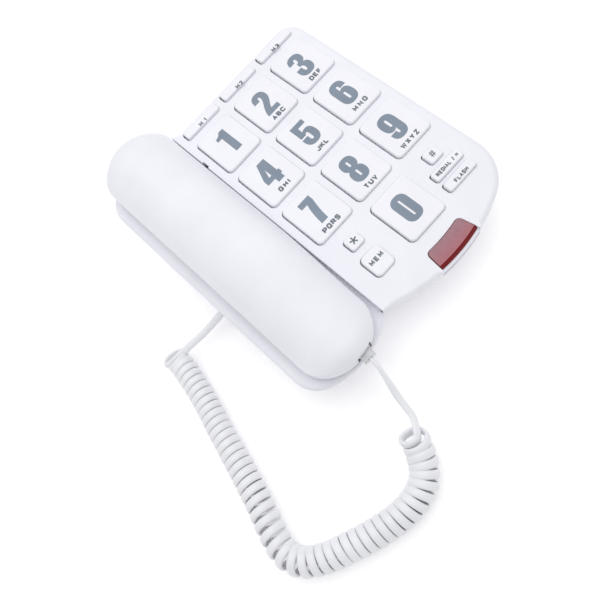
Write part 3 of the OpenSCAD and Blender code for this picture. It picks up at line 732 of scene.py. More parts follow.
def lens_sides(gap, front_r, n=16):
    """The lens's plan from its front left corner, round the back, to its front right corner."""
    a0 = LENS_ANGLES[0] - math.degrees(gap / 98)
    a1 = LENS_ANGLES[1] + math.degrees(gap / 98)
    back, r = LENS_BACK_R - gap, LENS_CORNER + gap
    da = math.degrees(r / (back + r))
    t = np.radians(np.linspace(0, 90, 7))
    left = [polar(back + r - r * math.sin(x), a0 + da - da * math.cos(x)) for x in t]
    right = [polar(back + r - r * math.sin(x), a1 - da + da * math.cos(x)) for x in t[::-1]]
    mid = polar(back, np.linspace(a0 + da, a1 - da, n)[1:-1])
    return np.vstack([[polar(front_r, a0)], left, mid, right, [polar(front_r, a1)]])


def deck_loop():
    """The deck's edge: the outline's right part, with the lens's recess cut in, then the step."""
    run = DECK_RUN
    recess = lens_sides(LENS_GAP, FRONT_R)
    ang = np.degrees(np.arctan2(run[:, 1] - FRONT_C[1], run[:, 0] - FRONT_C[0]))
    gap = math.degrees(LENS_GAP / 98)
    in_lens = (ang > LENS_ANGLES[0] - gap) & (ang < LENS_ANGLES[1] + gap) & (run[:, 1] < -60)
    i0 = int(np.argmax(in_lens))
    i1 = len(run) - int(np.argmax(in_lens[::-1]))
    vs = np.linspace(run[-1][1], run[0][1], 62)[1:-1]
    hi, lo = SLOT_V[1], SLOT_V[0]
    step = np.vstack([np.column_stack([np.full((vs > hi + 0.6).sum(), STEP_U), vs[vs > hi + 0.6]]),
                      [[STEP_U, hi], [SLOT_U, hi - 0.05], [SLOT_U, lo + 0.05], [STEP_U, lo]],
                      np.column_stack([np.full((vs < lo - 0.6).sum(), STEP_U), vs[vs < lo - 0.6]])])
    loop = np.vstack([run[:i0], recess, run[i1:], step])
    kind = np.concatenate([np.zeros(i0), np.ones(len(recess)), np.zeros(len(run) - i1), np.full(len(step), 2)])
    return loop, kind, recess[0], recess[-1], run[i0:i1]


# The outer wall leans inwards below the edge: how far at each depth below the deck
WALL_DROP = [0.0, 3.2, 4.2, 5.5, 8.6, 11.5]
WALL_IN = [0.0, 0.0, 0.25, 0.85, 2.4, 3.9]


def wall_inset(w, n):
    """Inset of the outer wall: it leans at the front and stands upright at the sides and back."""
    return np.interp(-np.asarray(w), WALL_DROP, WALL_IN) * smooth(-n[:, 1] / 0.6)


def drawn_in(extra, w):
    inset = wall_inset(w, OUT_N) + extra
    return at(OUTLINE - OUT_N * inset[:, None], w)


EDGE_R = 3.0
LIP_W = -2.3
LEDGE_R = 2.2
CUPS = [((-50.5, 67.0), 22.0, -17.0), ((-50.5, -64.0), 22.0, -17.0)]
WELL = ((-50.5, 2.0), (39.0, 72.0), 6.0, -14.0)


def make_base_top():
    b = Builder()
    loop, kind, p0, p1, front = deck_loop()
    n = normals(loop)
    scale = edge_scale(loop, 9.0, 0.16, [DECK_RUN[0], DECK_RUN[-1]])
    scale[kind == 2] = 0.16
    for p in (p0, p1):
        scale = np.minimum(scale, 0.12 + 0.88 * smooth(np.linalg.norm(loop - p, axis=1) / 3.5))
    scale[kind == 1] = 0.12
    prof = [(EDGE_R + 0.35, 0.0)] + fillet(EDGE_R, 7)
    rings = []
    for inset, drop in prof:
        rings.append(np.column_stack([loop - n * (inset * scale)[:, None], -drop * scale]))
    # Down to the lower wall; the step stops at the ledge, the lens recess at its floor
    for f in (0.15, 0.4, 0.7, 1.0):
        w = -EDGE_R * scale + (EDGE_R * scale - 8.6) * f
        edge = loop - n * np.where(kind == 0, wall_inset(w, n), 0)[:, None]
        w = np.where(kind == 2, LEDGE_W * f, w)
        rings.append(np.column_stack([edge, w]))
    b.loft(rings)
    top = rings[0][:, :2]
    # Key openings
    holes = []
    for node in KEYS:
        c, size, _ = key_plan(node)
        r = corner_of(size) + 0.35
        full = size + [GAP_LEFT + GAP_RIGHT, GAP_FRONT + GAP_BACK]
        c = c + [(GAP_RIGHT - GAP_LEFT) / 2, (GAP_BACK - GAP_FRONT) / 2]
        rr = [rounded_rect(c, full + 2 * o, r + o, 7) for o in (0.4, 0.25, 0.12, 0.03, 0.0)]
        ww = [0.0, 0.0, -0.04, -0.12, -0.25]
        b.loft([at(x, w) for x, w in zip(rr, ww)] + [at(rr[-1], -2.5)])
        holes.append(rr[0])
    b.sheet([top] + holes, flat(0.0))
    # Ledge: rounded outer edge, then the flat with the cups and the finger well
    ledge = LEDGE_RUN
    line = np.column_stack([np.full(60, STEP_U), np.linspace(ledge[-1][1], ledge[0][1], 62)[1:-1]])
    lloop = np.vstack([ledge, line])
    ln = normals(lloop)
    on_line = np.arange(len(lloop)) >= len(ledge)
    ls = edge_scale(lloop, 8.0, 0.1, [ledge[0], ledge[-1]])
    ls[on_line | (np.abs(lloop[:, 0] - STEP_U) < 1e-6)] = 0.0
    lr = []
    for inset, drop in [(LEDGE_R + 0.35, 0.0)] + fillet(LEDGE_R, 6):
        lr.append(np.column_stack([lloop - ln * (inset * ls)[:, None], LEDGE_W - drop * ls]))
    lr = [r[~on_line] for r in lr]
    lr.append(np.column_stack([(lloop - ln * wall_inset(-8.6, ln)[:, None])[~on_line],
                               np.full((~on_line).sum(), -8.6)]))
    b.loft(lr, closed=False)
    ltop = np.vstack([lr[0][:, :2], lloop[on_line]])
    lholes = []
    for c, r, floor in CUPS:
        edge = [(0.3, 0.06), (0.7, 0.3), (1.05, 0.75), (1.25, 1.4)]
        prof2 = [(1.5, 0), (1.25, 0)] + [(1.25 - x, -d) for x, d in edge]
        rings = [at(arc(c, r + o, 0, 360, 96)[:-1], LEDGE_W + d) for o, d in prof2]
        wall = [at(arc(c, r, 0, 360, 96)[:-1], floor + 2.0), at(arc(c, r - 0.25, 0, 360, 96)[:-1], floor + 1.1),
                at(arc(c, r - 0.8, 0, 360, 96)[:-1], floor + 0.35), at(arc(c, r - 1.8, 0, 360, 96)[:-1], floor)]
        b.loft(rings + wall)
        hole = []
        if c[1] > 0:
            hc = np.array([-36.0, 62.0])
            hole = [rounded_rect(hc, (7.2, 7.2), 0.8, 3)]
            b.loft([at(hole[0], floor), at(hole[0], floor - 3)])
        b.sheet([arc(c, r - 1.8, 0, 360, 96)[:-1]] + hole, flat(floor))
        lholes.append(arc(c, r + 1.5, 0, 360, 96)[:-1])
    c, size, r, floor = WELL
    size = np.array(size)
    steps = [(1.6, 0), (1.35, 0), (1.0, -0.08), (0.6, -0.35), (0.25, -0.85), (0, -1.5)]
    rings = [at(rounded_rect(c, size + 2 * o, r + o, 8), LEDGE_W + d) for o, d in steps]
    for inset, rise in ((0, 2.5), (0.6, 1.3), (2.0, 0.4), (5.0, 0)):
        rings.append(at(rounded_rect(c, size - inset, r - inset / 2, 8), floor + rise))
    b.loft(rings)
    b.sheet([rounded_rect(c, size - 5.0, r - 2.5, 8)], flat(floor))
    lholes.append(rounded_rect(c, size + 3.2, r + 1.6, 8))
    # Slot beside the step line
    slot = rounded_rect((-25.35, sum(SLOT_V) / 2), (2.1, SLOT_V[1] - SLOT_V[0]), 0.3, 2)
    b.loft([at(slot, LEDGE_W), at(slot, LEDGE_W - 2.4)])
    lholes.append(slot)
    b.sheet([ltop] + lholes, flat(LEDGE_W))
    # Outer wall below both parts, down to the parting line with its shadow groove
    wall = [drawn_in(0.0, w) for w in (-8.6, -9.6, -10.6, -11.5)]
    b.loft(wall + [drawn_in(0.4, -11.7), drawn_in(2.2, -11.75)])
    # Floor and lip of the lens recess
    lip = np.vstack([[p0], front, [p1]])
    ln = unit(lip - FRONT_C)
    b.sheet([np.vstack([lip, loop[kind == 1][1:-1][::-1]])], flat(-7.3))
    b.loft([at(lip - ln * 2.6, -7.3), at(lip - ln * 2.6, LIP_W), at(lip - ln * 0.35, LIP_W),
            at(lip - ln * 0.1, LIP_W - 0.1), at(lip, LIP_W - 0.35)]
           + [at(lip - ln * wall_inset(w, ln)[:, None], w) for w in (-4.2, -5.5, -8.6)], closed=False)
    obj = b.build("base_top", SHELL, "base", up=1)
    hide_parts("base_top_cover")


make_base_top()

# ---------------------------------------------------------------- base bottom cover
SLOPE = 0.45
FOOT_H = 2.0


def cut_box(obj, lo, hi, name):
    """Takes a box out of a piece with an exact boolean, then applies it."""
    mesh = bpy.data.meshes.new(name)
    bm = bmesh.new()
    bmesh.ops.create_cube(bm, size=1.0)
    lo, hi = Vector(lo) * MM, Vector(hi) * MM
    for v in bm.verts:
        v.co = Vector(((lo[k] + hi[k]) / 2 + v.co[k] * (hi[k] - lo[k])) for k in range(3))
    bm.to_mesh(mesh)
    bm.free()
    cutter = link(name, mesh)
    mod = obj.modifiers.new(name, "BOOLEAN")
    mod.operation = "DIFFERENCE"
    mod.object = cutter
    mod.solver = "EXACT"
    bpy.context.view_layer.update()
    done = bpy.data.meshes.new_from_object(obj.evaluated_get(bpy.context.evaluated_depsgraph_get()))
    obj.modifiers.clear()
    obj.data = done
    bpy.data.objects.remove(cutter)


def make_base_bottom():
    b = Builder()
    loop, n = OUTLINE, OUT_N
    # How far each point of the outline comes down to reach the underside
    depth = (DECK_H - FOOT_H + loop[:, 1] * TILT_S + PARTING_W * TILT_C) / (TILT_C + SLOPE * n[:, 1] * TILT_S)
    rings = []

    def drawn(inset, drop):
        """The outline drawn in by inset at each point; where it would fold over itself it closes up."""
        q = loop - n * inset[:, None]
        d = distance(q, loop)
        ok = (d >= inset * 0.985 - 0.05)
        idx = np.arange(len(loop))
        if not ok.all():
            good = idx[ok]
            for k in range(2):
                ext = np.concatenate([good - len(loop), good, good + len(loop)])
                val = np.tile(q[ok][:, k], 3)
                q[:, k] = np.interp(idx, ext, val)
        for _ in range(int(2 + inset.max() * 1.2)):
            q = 0.5 * q + 0.25 * (np.roll(q, 1, 0) + np.roll(q, -1, 0))
        return np.column_stack([q, PARTING_W - drop])

    start = wall_inset(-11.5, n)
    rings.append(drawn(start + 2.2, -0.1 + 0 * depth))
    rings.append(drawn(start + 0.4, 0 * depth))
    rings.append(drawn(start + 0.1, 0.25 + 0 * depth))
    for f in np.linspace(0, 1, 12)[1:]:
        drop = depth * f * 0.93
        rings.append(drawn(start + 0.1 + (SLOPE * depth - start) * f * 0.93, drop))
    base = depth * 0.93
    for t in (0.35, 0.65, 0.85, 1.0):
        drop = base + (depth - base) * math.sin(t * math.pi / 2)
        inset = start + 0.1 + (SLOPE * depth - start) * drop / depth + 2.6 * (1 - math.cos(t * math.pi / 2))
        rings.append(drawn(inset, drop))
    parts = [to_part(r) for r in rings]
    parts[-1][:, 2] = FOOT_H
    b.loft(parts)
    slots = [rounded_rect((44.0 + 5 * i, -30.0), (2, 18), 0.95, 4) for i in range(-2, 3)]
    wells = []
    for u, v in ((-21, 50), (-21, -74), (8, -58), (66, -44)):
        foot = to_part([[u, v, -(DECK_H + v * TILT_S - FOOT_H) / TILT_C]])[0]
        wells.append(arc(foot[:2], 3.2, 0, 360, 28)[:-1])
    for s in slots:
        b.loft([at(s, FOOT_H), at(s, FOOT_H + 2.4)])
    for w in wells:
        lean = [at(w + [0, -TILT_S * h], FOOT_H + h) for h in (0.0, 4.0, 9.0)]
        b.loft(lean)
        floor = lean[-1]
        b.sheet([floor[:, :2], arc(floor[:, :2].mean(0), 1.7, 0, 360, 20)[:-1]],
                flat(FOOT_H + 9.0))
    b.sheet([parts[-1][:, :2]] + slots + wells, flat(FOOT_H))
    for s in slots:
        b.sheet([s], flat(FOOT_H + 2.4))
    for w in wells:
        middle = (w + [0, -TILT_S * 9.0]).mean(0)
        b.sheet([arc(middle, 1.7, 0, 360, 20)[:-1]], flat(FOOT_H + 9.0))
    lid = b.ring(parts[0])
    b.f.append(tuple(lid))
    obj = b.build("base_bottom", SHELL, "base", deck=False, merge=0.01)
    # Windows for the two jacks, then the lid that closed the body for cutting comes off again
    cut_box(obj, (31.8, 52, 5.8), (48.2, 110, 20.2), "line_window")
    cut_box(obj, (-110, -9.7, 6.3), (-60, 3.7, 17.7), "cord_window")
    bm = bmesh.new()
    bm.from_mesh(obj.data)
    depths = [to_deck(np.array(f.calc_center_median()) / MM)[2] for f in bm.faces]
    lids = [f for f, w in zip(bm.faces, depths) if f.normal.z > 0.9 and abs(w + 11.9) < 0.3]
    bmesh.ops.delete(bm, geom=lids, context="FACES")
    bm.to_mesh(obj.data)
    bm.free()
    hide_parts("base_bottom_cover")


make_base_bottom()


# ---------------------------------------------------------------- keys


def make_key(node):
    b = Builder()
    c, size, top = key_plan(node)
    r = corner_of(size)
    soft = 0.95 if min(size) > 12 else 0.8
    rim = THIN_FLANGE if size[1] < 8 else FLANGE
    flange = size + 2 * rim

    def plan(inset):
        return rounded_rect(c, size - 2 * inset, max(r - 0.45 * inset, 0.4), 8)

    rings = [at(rounded_rect(c, flange, r + rim, 8), -3.85), at(rounded_rect(c, flange, r + rim, 8), -3.2),
             at(plan(0), -3.15), at(plan(0), top - soft)]
    for inset, drop in reversed(fillet(soft, 6)[:-1]):
        rings.append(at(plan(inset), top - drop))
    rings.append(at(plan(soft + 0.4), top))
    b.loft(rings)
    b.sheet([plan(soft + 0.4)], flat(top))
    b.sheet([rounded_rect(c, flange, r + rim, 8)], flat(-3.85))
    obj = b.build(node + "_cap", KEYCAP, node)
    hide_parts(node)


for node in KEYS:
    make_key(node)

# ---------------------------------------------------------------- legends
# Digits on a grid 10 wide and 16 high: outlines first, then counters that are cut out.


def bez(p0, p1, p2, n=8):
    t = np.linspace(0, 1, n + 1)[1:, None]
    p0, p1, p2 = (np.asarray(p, float) for p in (p0, p1, p2))
    return (1 - t) ** 2 * p0 + 2 * t * (1 - t) * p1 + t * t * p2


def outline(*moves):
    """A closed outline: a point is a straight line to it, a pair of points is a curve."""
    pts = [np.asarray(moves[0], float)]
    for m in moves[1:]:
        if isinstance(m[0], (tuple, list)):
            pts.extend(bez(pts[-1], m[0], m[1]))
        else:
            pts.append(np.asarray(m, float))
    pts = np.array(pts)
    if np.linalg.norm(pts[0] - pts[-1]) < 1e-6:
        pts = pts[:-1]
    return pts


def stadium(x0, x1, y0, y1, r, n=8):
    return rounded_rect(((x0 + x1) / 2, (y0 + y1) / 2), (x1 - x0, y1 - y0), r, n)


DIGITS = {
    "0": ([stadium(0.0, 11.1, 0.0, 19.0, 4.6)], [stadium(4.95, 6.15, 3.2, 15.8, 0.58)]),
    "1": ([outline((3.3, 0), (8.3, 0), (8.3, 18.6), (4.7, 18.6), ((3.7, 16.4), (0.1, 15.9)), (0.1, 13.6),
                   (3.3, 13.6))], []),
    "2": ([outline((0.3, 0), (10.6, 0), (10.6, 3.4), (5.7, 3.4), ((6.0, 4.6), (7.7, 6.9)),
                   ((10.6, 10.4), (10.7, 12.9)), ((10.7, 18.7), (5.4, 18.7)), ((0.1, 18.7), (0.1, 12.5)),
                   (4.3, 12.5), ((4.3, 15.2), (5.3, 15.2)), ((6.2, 15.2), (6.2, 13.5)),
                   ((6.2, 11.8), (3.6, 8.2)), ((0.3, 3.6), (0.3, 0)))], []),
    "3": ([outline((0.1, 7.4), (0.1, 5.6), ((0.1, 0), (5.7, 0)), ((11.2, 0), (11.3, 5.3)),
                   ((11.3, 8.9), (8.2, 9.8)), ((10.8, 10.7), (10.8, 13.7)), ((10.8, 18.6), (5.6, 18.6)),
                   ((0.3, 18.6), (0.1, 13.2)), (4.2, 13.2), ((4.3, 15.3), (5.3, 15.3)),
                   ((6.2, 15.3), (6.2, 13.2)), ((6.2, 11.2), (4.1, 11.2)), (4.1, 8.3),
                   ((6.5, 8.4), (6.5, 6.0)), ((6.5, 3.4), (5.4, 3.4)), ((4.3, 3.4), (4.2, 7.4)))], []),
    "4": ([outline((5.7, 0), (10.6, 0), (10.6, 3.3), (11.8, 3.3), (11.8, 6.6), (10.6, 6.6), (10.6, 18.6),
                   (4.7, 18.6), (0.0, 7.2), (0.0, 3.3), (5.7, 3.3))],
          [outline((3.9, 6.6), (5.8, 6.6), (5.8, 12.4))]),
    "5": ([outline((0.1, 7.2), (0.1, 5.6), ((0.3, 0), (5.6, 0)), ((11.4, 0), (11.4, 5.9)),
                   ((11.4, 12.3), (7.4, 12.3)), ((5.9, 12.3), (4.4, 11.4)), (4.5, 15.2), (10.5, 15.2),
                   (10.5, 18.6), (0.5, 18.6), (0.5, 8.4), (4.5, 8.4), ((4.9, 9.5), (5.7, 9.5)),
                   ((6.7, 9.5), (6.7, 7.6)), (6.7, 5.0), ((6.7, 3.3), (5.7, 3.3)), ((4.6, 3.3), (4.6, 5.0)),
                   (4.6, 7.2))], []),
    "6": ([outline((11.2, 13.2), (11.2, 13.8), ((11.1, 19.0), (5.8, 19.0)), ((0.1, 19.0), (0.1, 12.9)),
                   (0.1, 6.1), ((0.1, 0), (5.8, 0)), ((11.4, 0), (11.5, 6.0)), ((11.5, 12.4), (7.5, 12.5)),
                   ((6.0, 12.5), (5.1, 11.5)), (5.1, 14.4), ((5.1, 15.6), (5.9, 15.6)),
                   ((6.8, 15.6), (6.8, 13.2)))],
          [stadium(5.1, 6.7, 3.4, 9.4, 0.75)]),
    "7": ([outline((1.7, 0), (6.7, 0), ((6.9, 6.2), (9.3, 14.6)), (9.3, 18.6), (0.2, 18.6), (0.2, 14.7),
                   (4.6, 14.7), ((2.3, 8.4), (1.7, 0)))], []),
    "8": ([outline((5.6, 0), ((11.2, 0), (11.2, 5.4)), ((11.2, 8.8), (8.9, 9.9)), ((11.0, 11.0), (11.0, 13.9)),
                   ((11.0, 19.2), (5.6, 19.2)), ((0.3, 19.2), (0.3, 13.9)), ((0.3, 11.0), (2.4, 9.9)),
                   ((0.1, 8.8), (0.1, 5.4)), ((0.1, 0), (5.6, 0)))],
          [stadium(4.9, 6.3, 3.3, 8.3, 0.68), stadium(4.9, 6.3, 11.8, 16.0, 0.68)]),
}


def nine():
    outs, cuts = DIGITS["6"]
    turn = [np.array([11.6, 19.0]) - p for p in outs]
    return turn, [np.array([11.6, 19.0]) - p for p in cuts]


DIGITS["9"] = nine()
LEGEND_LIFT = 0.02
LEGEND_T = 0.06


def print_shape(builder, outs, cuts, move, scale, w):
    """A printed mark: a very thin slab with its counters open."""
    for o in outs:
        o = np.asarray(o) * scale + move
        mine = [np.asarray(c) * scale + move for c in cuts]
        for level in (w + LEGEND_LIFT, w + LEGEND_LIFT + LEGEND_T):
            builder.sheet([o] + mine, flat(level))
        for loop in [o] + mine:
            builder.loft([at(loop, w + LEGEND_LIFT), at(loop, w + LEGEND_LIFT + LEGEND_T)])


DIGIT_AT = {"1": (-4.0, 52.1), "2": (29.2, 51.9), "3": (62.3, 51.9), "4": (-3.8, 16.1), "5": (29.4, 15.9),
            "6": (62.8, 16.2), "7": (-4.5, -22.2), "8": (28.7, -22.9), "9": (62.2, -22.7), "0": (28.4, -62.4)}


def make_digit(ch):
    node = "key_" + ch
    top = key_plan(node)[2]
    outs, cuts = DIGITS[ch]
    allp = np.vstack(outs)
    mid = (allp.min(0) + allp.max(0)) / 2
    b = Builder()
    print_shape(b, outs, cuts, np.array(DIGIT_AT[ch]) - mid, 1.0, top)
    obj = b.build("digit_" + ch, PRINT, node, merge=0.001, sharp=20)


for ch in DIGIT_AT:
    make_digit(ch)

# Small letters: strokes on a grid 4 wide and 6 high, joined by a fixed pen width.
STROKES = {
    "A": [[(0, 0), (2, 6), (4, 0)], [(0.9, 2), (3.1, 2)]],
    "B": [[(0, 0), (0, 6), (2.6, 6), (3.6, 5.2), (3.6, 3.9), (2.6, 3.1), (0, 3.1)],
          [(2.6, 3.1), (4, 2.3), (4, 0.9), (2.9, 0), (0, 0)]],
    "C": [[(4, 4.4), (4, 5.2), (3.1, 6), (0.9, 6), (0, 5.1), (0, 0.9), (0.9, 0), (3.1, 0), (4, 0.8), (4, 1.7)]],
    "D": [[(0, 0), (0, 6), (2.8, 6), (4, 4.9), (4, 1.1), (2.8, 0), (0, 0)]],
    "E": [[(3.8, 6), (0, 6), (0, 0), (3.8, 0)], [(0, 3.1), (3.3, 3.1)]],
    "F": [[(3.8, 6), (0, 6), (0, 0)], [(0, 3), (3.2, 3)]],
    "G": [[(4, 4.4), (4, 5.2), (3.1, 6), (0.9, 6), (0, 5.1), (0, 0.9), (0.9, 0), (3.1, 0), (4, 0.8), (4, 2.8),
           (2.3, 2.8)]],
    "H": [[(0, 0), (0, 6)], [(4, 0), (4, 6)], [(0, 3.1), (4, 3.1)]],
    "I": [[(0, 0), (0, 6)]],
    "J": [[(0, 1.7), (0, 0.9), (0.8, 0), (2.6, 0), (3.4, 0.9), (3.4, 6)]],
    "K": [[(0, 0), (0, 6)], [(4, 6), (0.4, 2.6)], [(1.5, 3.6), (4.1, 0)]],
    "L": [[(0, 6), (0, 0), (3.6, 0)]],
    "M": [[(0, 0), (0, 6), (2.3, 1.6), (4.6, 6), (4.6, 0)]],
    "N": [[(0, 0), (0, 6), (4, 0), (4, 6)]],
    "O": [[(0.9, 0), (0, 0.9), (0, 5.1), (0.9, 6), (3.1, 6), (4, 5.1), (4, 0.9), (3.1, 0), (0.9, 0)]],
    "P": [[(0, 0), (0, 6), (3, 6), (4, 5.2), (4, 3.4), (3, 2.6), (0, 2.6)]],
    "Q": [[(0.9, 0), (0, 0.9), (0, 5.1), (0.9, 6), (3.1, 6), (4, 5.1), (4, 0.9), (3.1, 0), (0.9, 0)],
          [(2.4, 1.6), (4.3, -0.7)]],
    "R": [[(0, 0), (0, 6), (3, 6), (4, 5.2), (4, 3.7), (3, 2.9), (0, 2.9)], [(2.4, 2.9), (4.1, 0)]],
    "S": [[(3.9, 4.5), (3.9, 5.2), (3, 6), (0.9, 6), (0, 5.2), (0, 4), (0.9, 3.2), (3.1, 2.9), (4, 2.1),
           (4, 0.9), (3.1, 0), (0.9, 0), (0, 0.8), (0, 1.5)]],
    "T": [[(2, 0), (2, 6)], [(0, 6), (4, 6)]],
    "U": [[(0, 6), (0, 0.9), (0.9, 0), (3.1, 0), (4, 0.9), (4, 6)]],
    "V": [[(0, 6), (2, 0), (4, 6)]],
    "W": [[(0, 6), (1.3, 0), (2.6, 5.2), (3.9, 0), (5.2, 6)]],
    "X": [[(0, 0), (4, 6)], [(0, 6), (4, 0)]],
    "Y": [[(0, 6), (2, 2.8), (4, 6)], [(2, 2.8), (2, 0)]],
    "Z": [[(0.1, 6), (3.9, 6), (0.1, 0), (3.9, 0)]],
    "1": [[(0, 4.6), (1.5, 6), (1.5, 0)]],
    "2": [[(0, 4.6), (0, 5.1), (0.9, 6), (2.7, 6), (3.6, 5.1), (3.6, 4), (0, 0), (3.7, 0)]],
    "3": [[(0, 5.3), (0.8, 6), (2.8, 6), (3.6, 5.2), (3.6, 4), (2.8, 3.2), (1.4, 3.2)],
          [(2.8, 3.2), (3.7, 2.3), (3.7, 0.9), (2.8, 0), (0.8, 0), (0, 0.8)]],
    "/": [[(0, -0.6), (2.2, 6.6)]],
    "|": [[(0, 0.6), (0, 5.4)]],
}


def pen(path, half, closed):
    """The outline of one stroke drawn with a flat pen, mitred at its corners."""
    p = np.array(path, float)
    n = len(p)
    left, right = [], []
    for i in range(n):
        a = p[i] - p[i - 1] if (i > 0 or closed) else p[1] - p[0]
        if closed and i == 0:
            a = p[0] - p[-1]
        c = p[(i + 1) % n] - p[i] if (i < n - 1 or closed) else p[-1] - p[-2]
        a, c = a / np.linalg.norm(a), c / np.linalg.norm(c)
        m = a + c
        ln = np.linalg.norm(m)
        if ln < 0.3:
            m, ln = a, 1.0
        m = m / ln
        grow = half / max(0.55, float(m @ c))
        side = np.array([-m[1], m[0]]) * grow
        left.append(p[i] + side)
        right.append(p[i] - side)
    return np.array(left), np.array(right)


def letter(builder, path, half, scale, move, w):
    """One stroke of a letter as a thin slab."""
    p = np.array(path, float)
    closed = np.linalg.norm(p[0] - p[-1]) < 1e-6
    if closed:
        p = p[:-1]
    l, r = pen(p * scale, half, closed)
    rings = []
    for level in (w + LEGEND_LIFT, w + LEGEND_LIFT + LEGEND_T):
        rings.append((builder.ring(at(l + move, level)), builder.ring(at(r + move, level))))
    (l0, r0), (l1, r1) = rings
    for a, c in ((l0, r0), (r1, l1), (l1, l0), (r0, r1)):
        builder.join(a, c, closed)
    if not closed:
        builder.f.append((l0[0], r0[0], r1[0], l1[0]))
        builder.f.append((l0[-1], l1[-1], r1[-1], r0[-1]))


def write(text, node, centre, cap, span, half, name=None, width=1.0):
    """A word in small capitals, centred, its letters spread over the span."""
    top = key_plan(node)[2]
    b = Builder()
    k = cap / 6.0
    widths = [cap * 0.25 if ch == " " else max(x for s in STROKES[ch] for x, _ in s) * k * width for ch in text]
    track = (span - 2 * half - sum(widths)) / (len(text) - 1)
    x = centre[0] - span / 2 + half
    for ch, wd in zip(text, widths):
        for n, s in enumerate(STROKES.get(ch, [])):
            letter(b, s, half, np.array([k * width, k]), np.array([x, centre[1] - cap / 2]), top + 0.012 * n)
        x += wd + track
    obj = b.build("legend_" + (name or text).lower(), PRINT_SMALL, node, merge=0.0005, sharp=20)


LETTERS = {"2": ("ABC", 29.1, 39.2, 9.9), "3": ("DEF", 62.4, 39.3, 9.4), "4": ("GHI", -3.7, 2.7, 8.7),
           "5": ("JKL", 29.2, 2.7, 9.0), "6": ("MNO", 62.8, 2.8, 11.2), "7": ("PQRS", -4.4, -35.7, 13.2),
           "8": ("TUV", 28.4, -36.2, 9.6), "9": ("WXYZ", 61.8, -36.2, 14.1)}
for ch, (word, u, v, span) in LETTERS.items():
    write(word, "key_" + ch, (u, v), 2.45, span, 0.46, width=1.2)
for i, (u, v) in enumerate(((-3.9, 75.4), (29.2, 74.9), (62.1, 74.4))):
    write("M%d" % (i + 1), "key_m%d" % (i + 1), (u, v), 2.1, 5.8, 0.38, width=1.2)
write("MEM", "key_mem", (-4.4, -69.2), 2.2, 9.7, 0.42, width=1.2)
write("REDIAL / ||", "key_redial", (61.6, -63.1), 1.9, 17.2, 0.32, name="redial", width=0.95)
write("FLASH", "key_flash", (61.5, -73.0), 1.9, 10.5, 0.32, width=1.0)


def make_star():
    b = Builder()
    c, _, top = key_plan("key_star")
    for i in range(5):
        a = math.radians(90 + 72 * i)
        d = np.array([math.cos(a), math.sin(a)])
        letter(b, [(0, 0), tuple(d * 2.4)], 0.42, 1.0, c + [0, 0.3], top + 0.01 * i)
    obj = b.build("legend_star", PRINT_SMALL, "key_star", merge=0.0005, sharp=20)


def make_hash():
    b = Builder()
    c, _, top = key_plan("key_hash")
    bars = [[(-0.95, -2.0), (-0.35, 2.0)], [(0.35, -2.0), (0.95, 2.0)], [(-1.7, -0.75), (1.6, -0.75)],
            [(-1.6, 0.75), (1.7, 0.75)]]
    for i, s in enumerate(bars):
        letter(b, s, 0.26, 1.0, c + [0, 0.2], top + 0.01 * i)
    obj = b.build("legend_hash", PRINT_SMALL, "key_hash", merge=0.0005, sharp=20)


make_star()
make_hash()

# ---------------------------------------------------------------- handset
HS_LO, HS_HI = deck_box("handset_back_shell")
HS_C = ((HS_LO[0] + HS_HI[0]) / 2, (HS_LO[1] + HS_HI[1]) / 2)
HS = dict(c=HS_C, half_w=25.5, half_l=(HS_HI[1] - HS_LO[1]) / 2 - 0.05, end_r=34.0, corner_r=18.0)
SEAM_W = 4.2
CROWN_W = 19.97
CROWN_LEN_R = 620.0
CROWN_SIDE_R = 34.0
UNDER_W = -5.4
GRIP_W = 2.0
GRIP_V = (-38.0, 42.0)
HEADS = [((-50.5, 67.0), 21.0), ((-50.5, -64.0), 21.0)]
HEAD_W = -16.0
GRIP_SIDE = 4.5


def handset_outline():
    """The handset's plan, drawn in a little towards the mouth end on the side by the deck."""
    p = resample(lobe(n=16, **HS), 1.6)
    right = smooth((p[:, 0] - HS_C[0]) / 20)
    p[:, 0] -= right * (0.35 + 2.4 * smooth((-15 - p[:, 1]) / 70))
    return p


HS_OUT = handset_outline()
HS_N = normals(HS_OUT)


def crown(xy):
    """Height of the handset's back before its edges are rounded."""
    du, dv = xy[:, 0] - HS_C[0], xy[:, 1] - HS_C[1]
    side = np.sqrt(np.maximum(CROWN_SIDE_R ** 2 - du ** 2, 0)) - CROWN_SIDE_R
    return CROWN_W + side * 0.85 + np.sqrt(CROWN_LEN_R ** 2 - dv ** 2) - CROWN_LEN_R


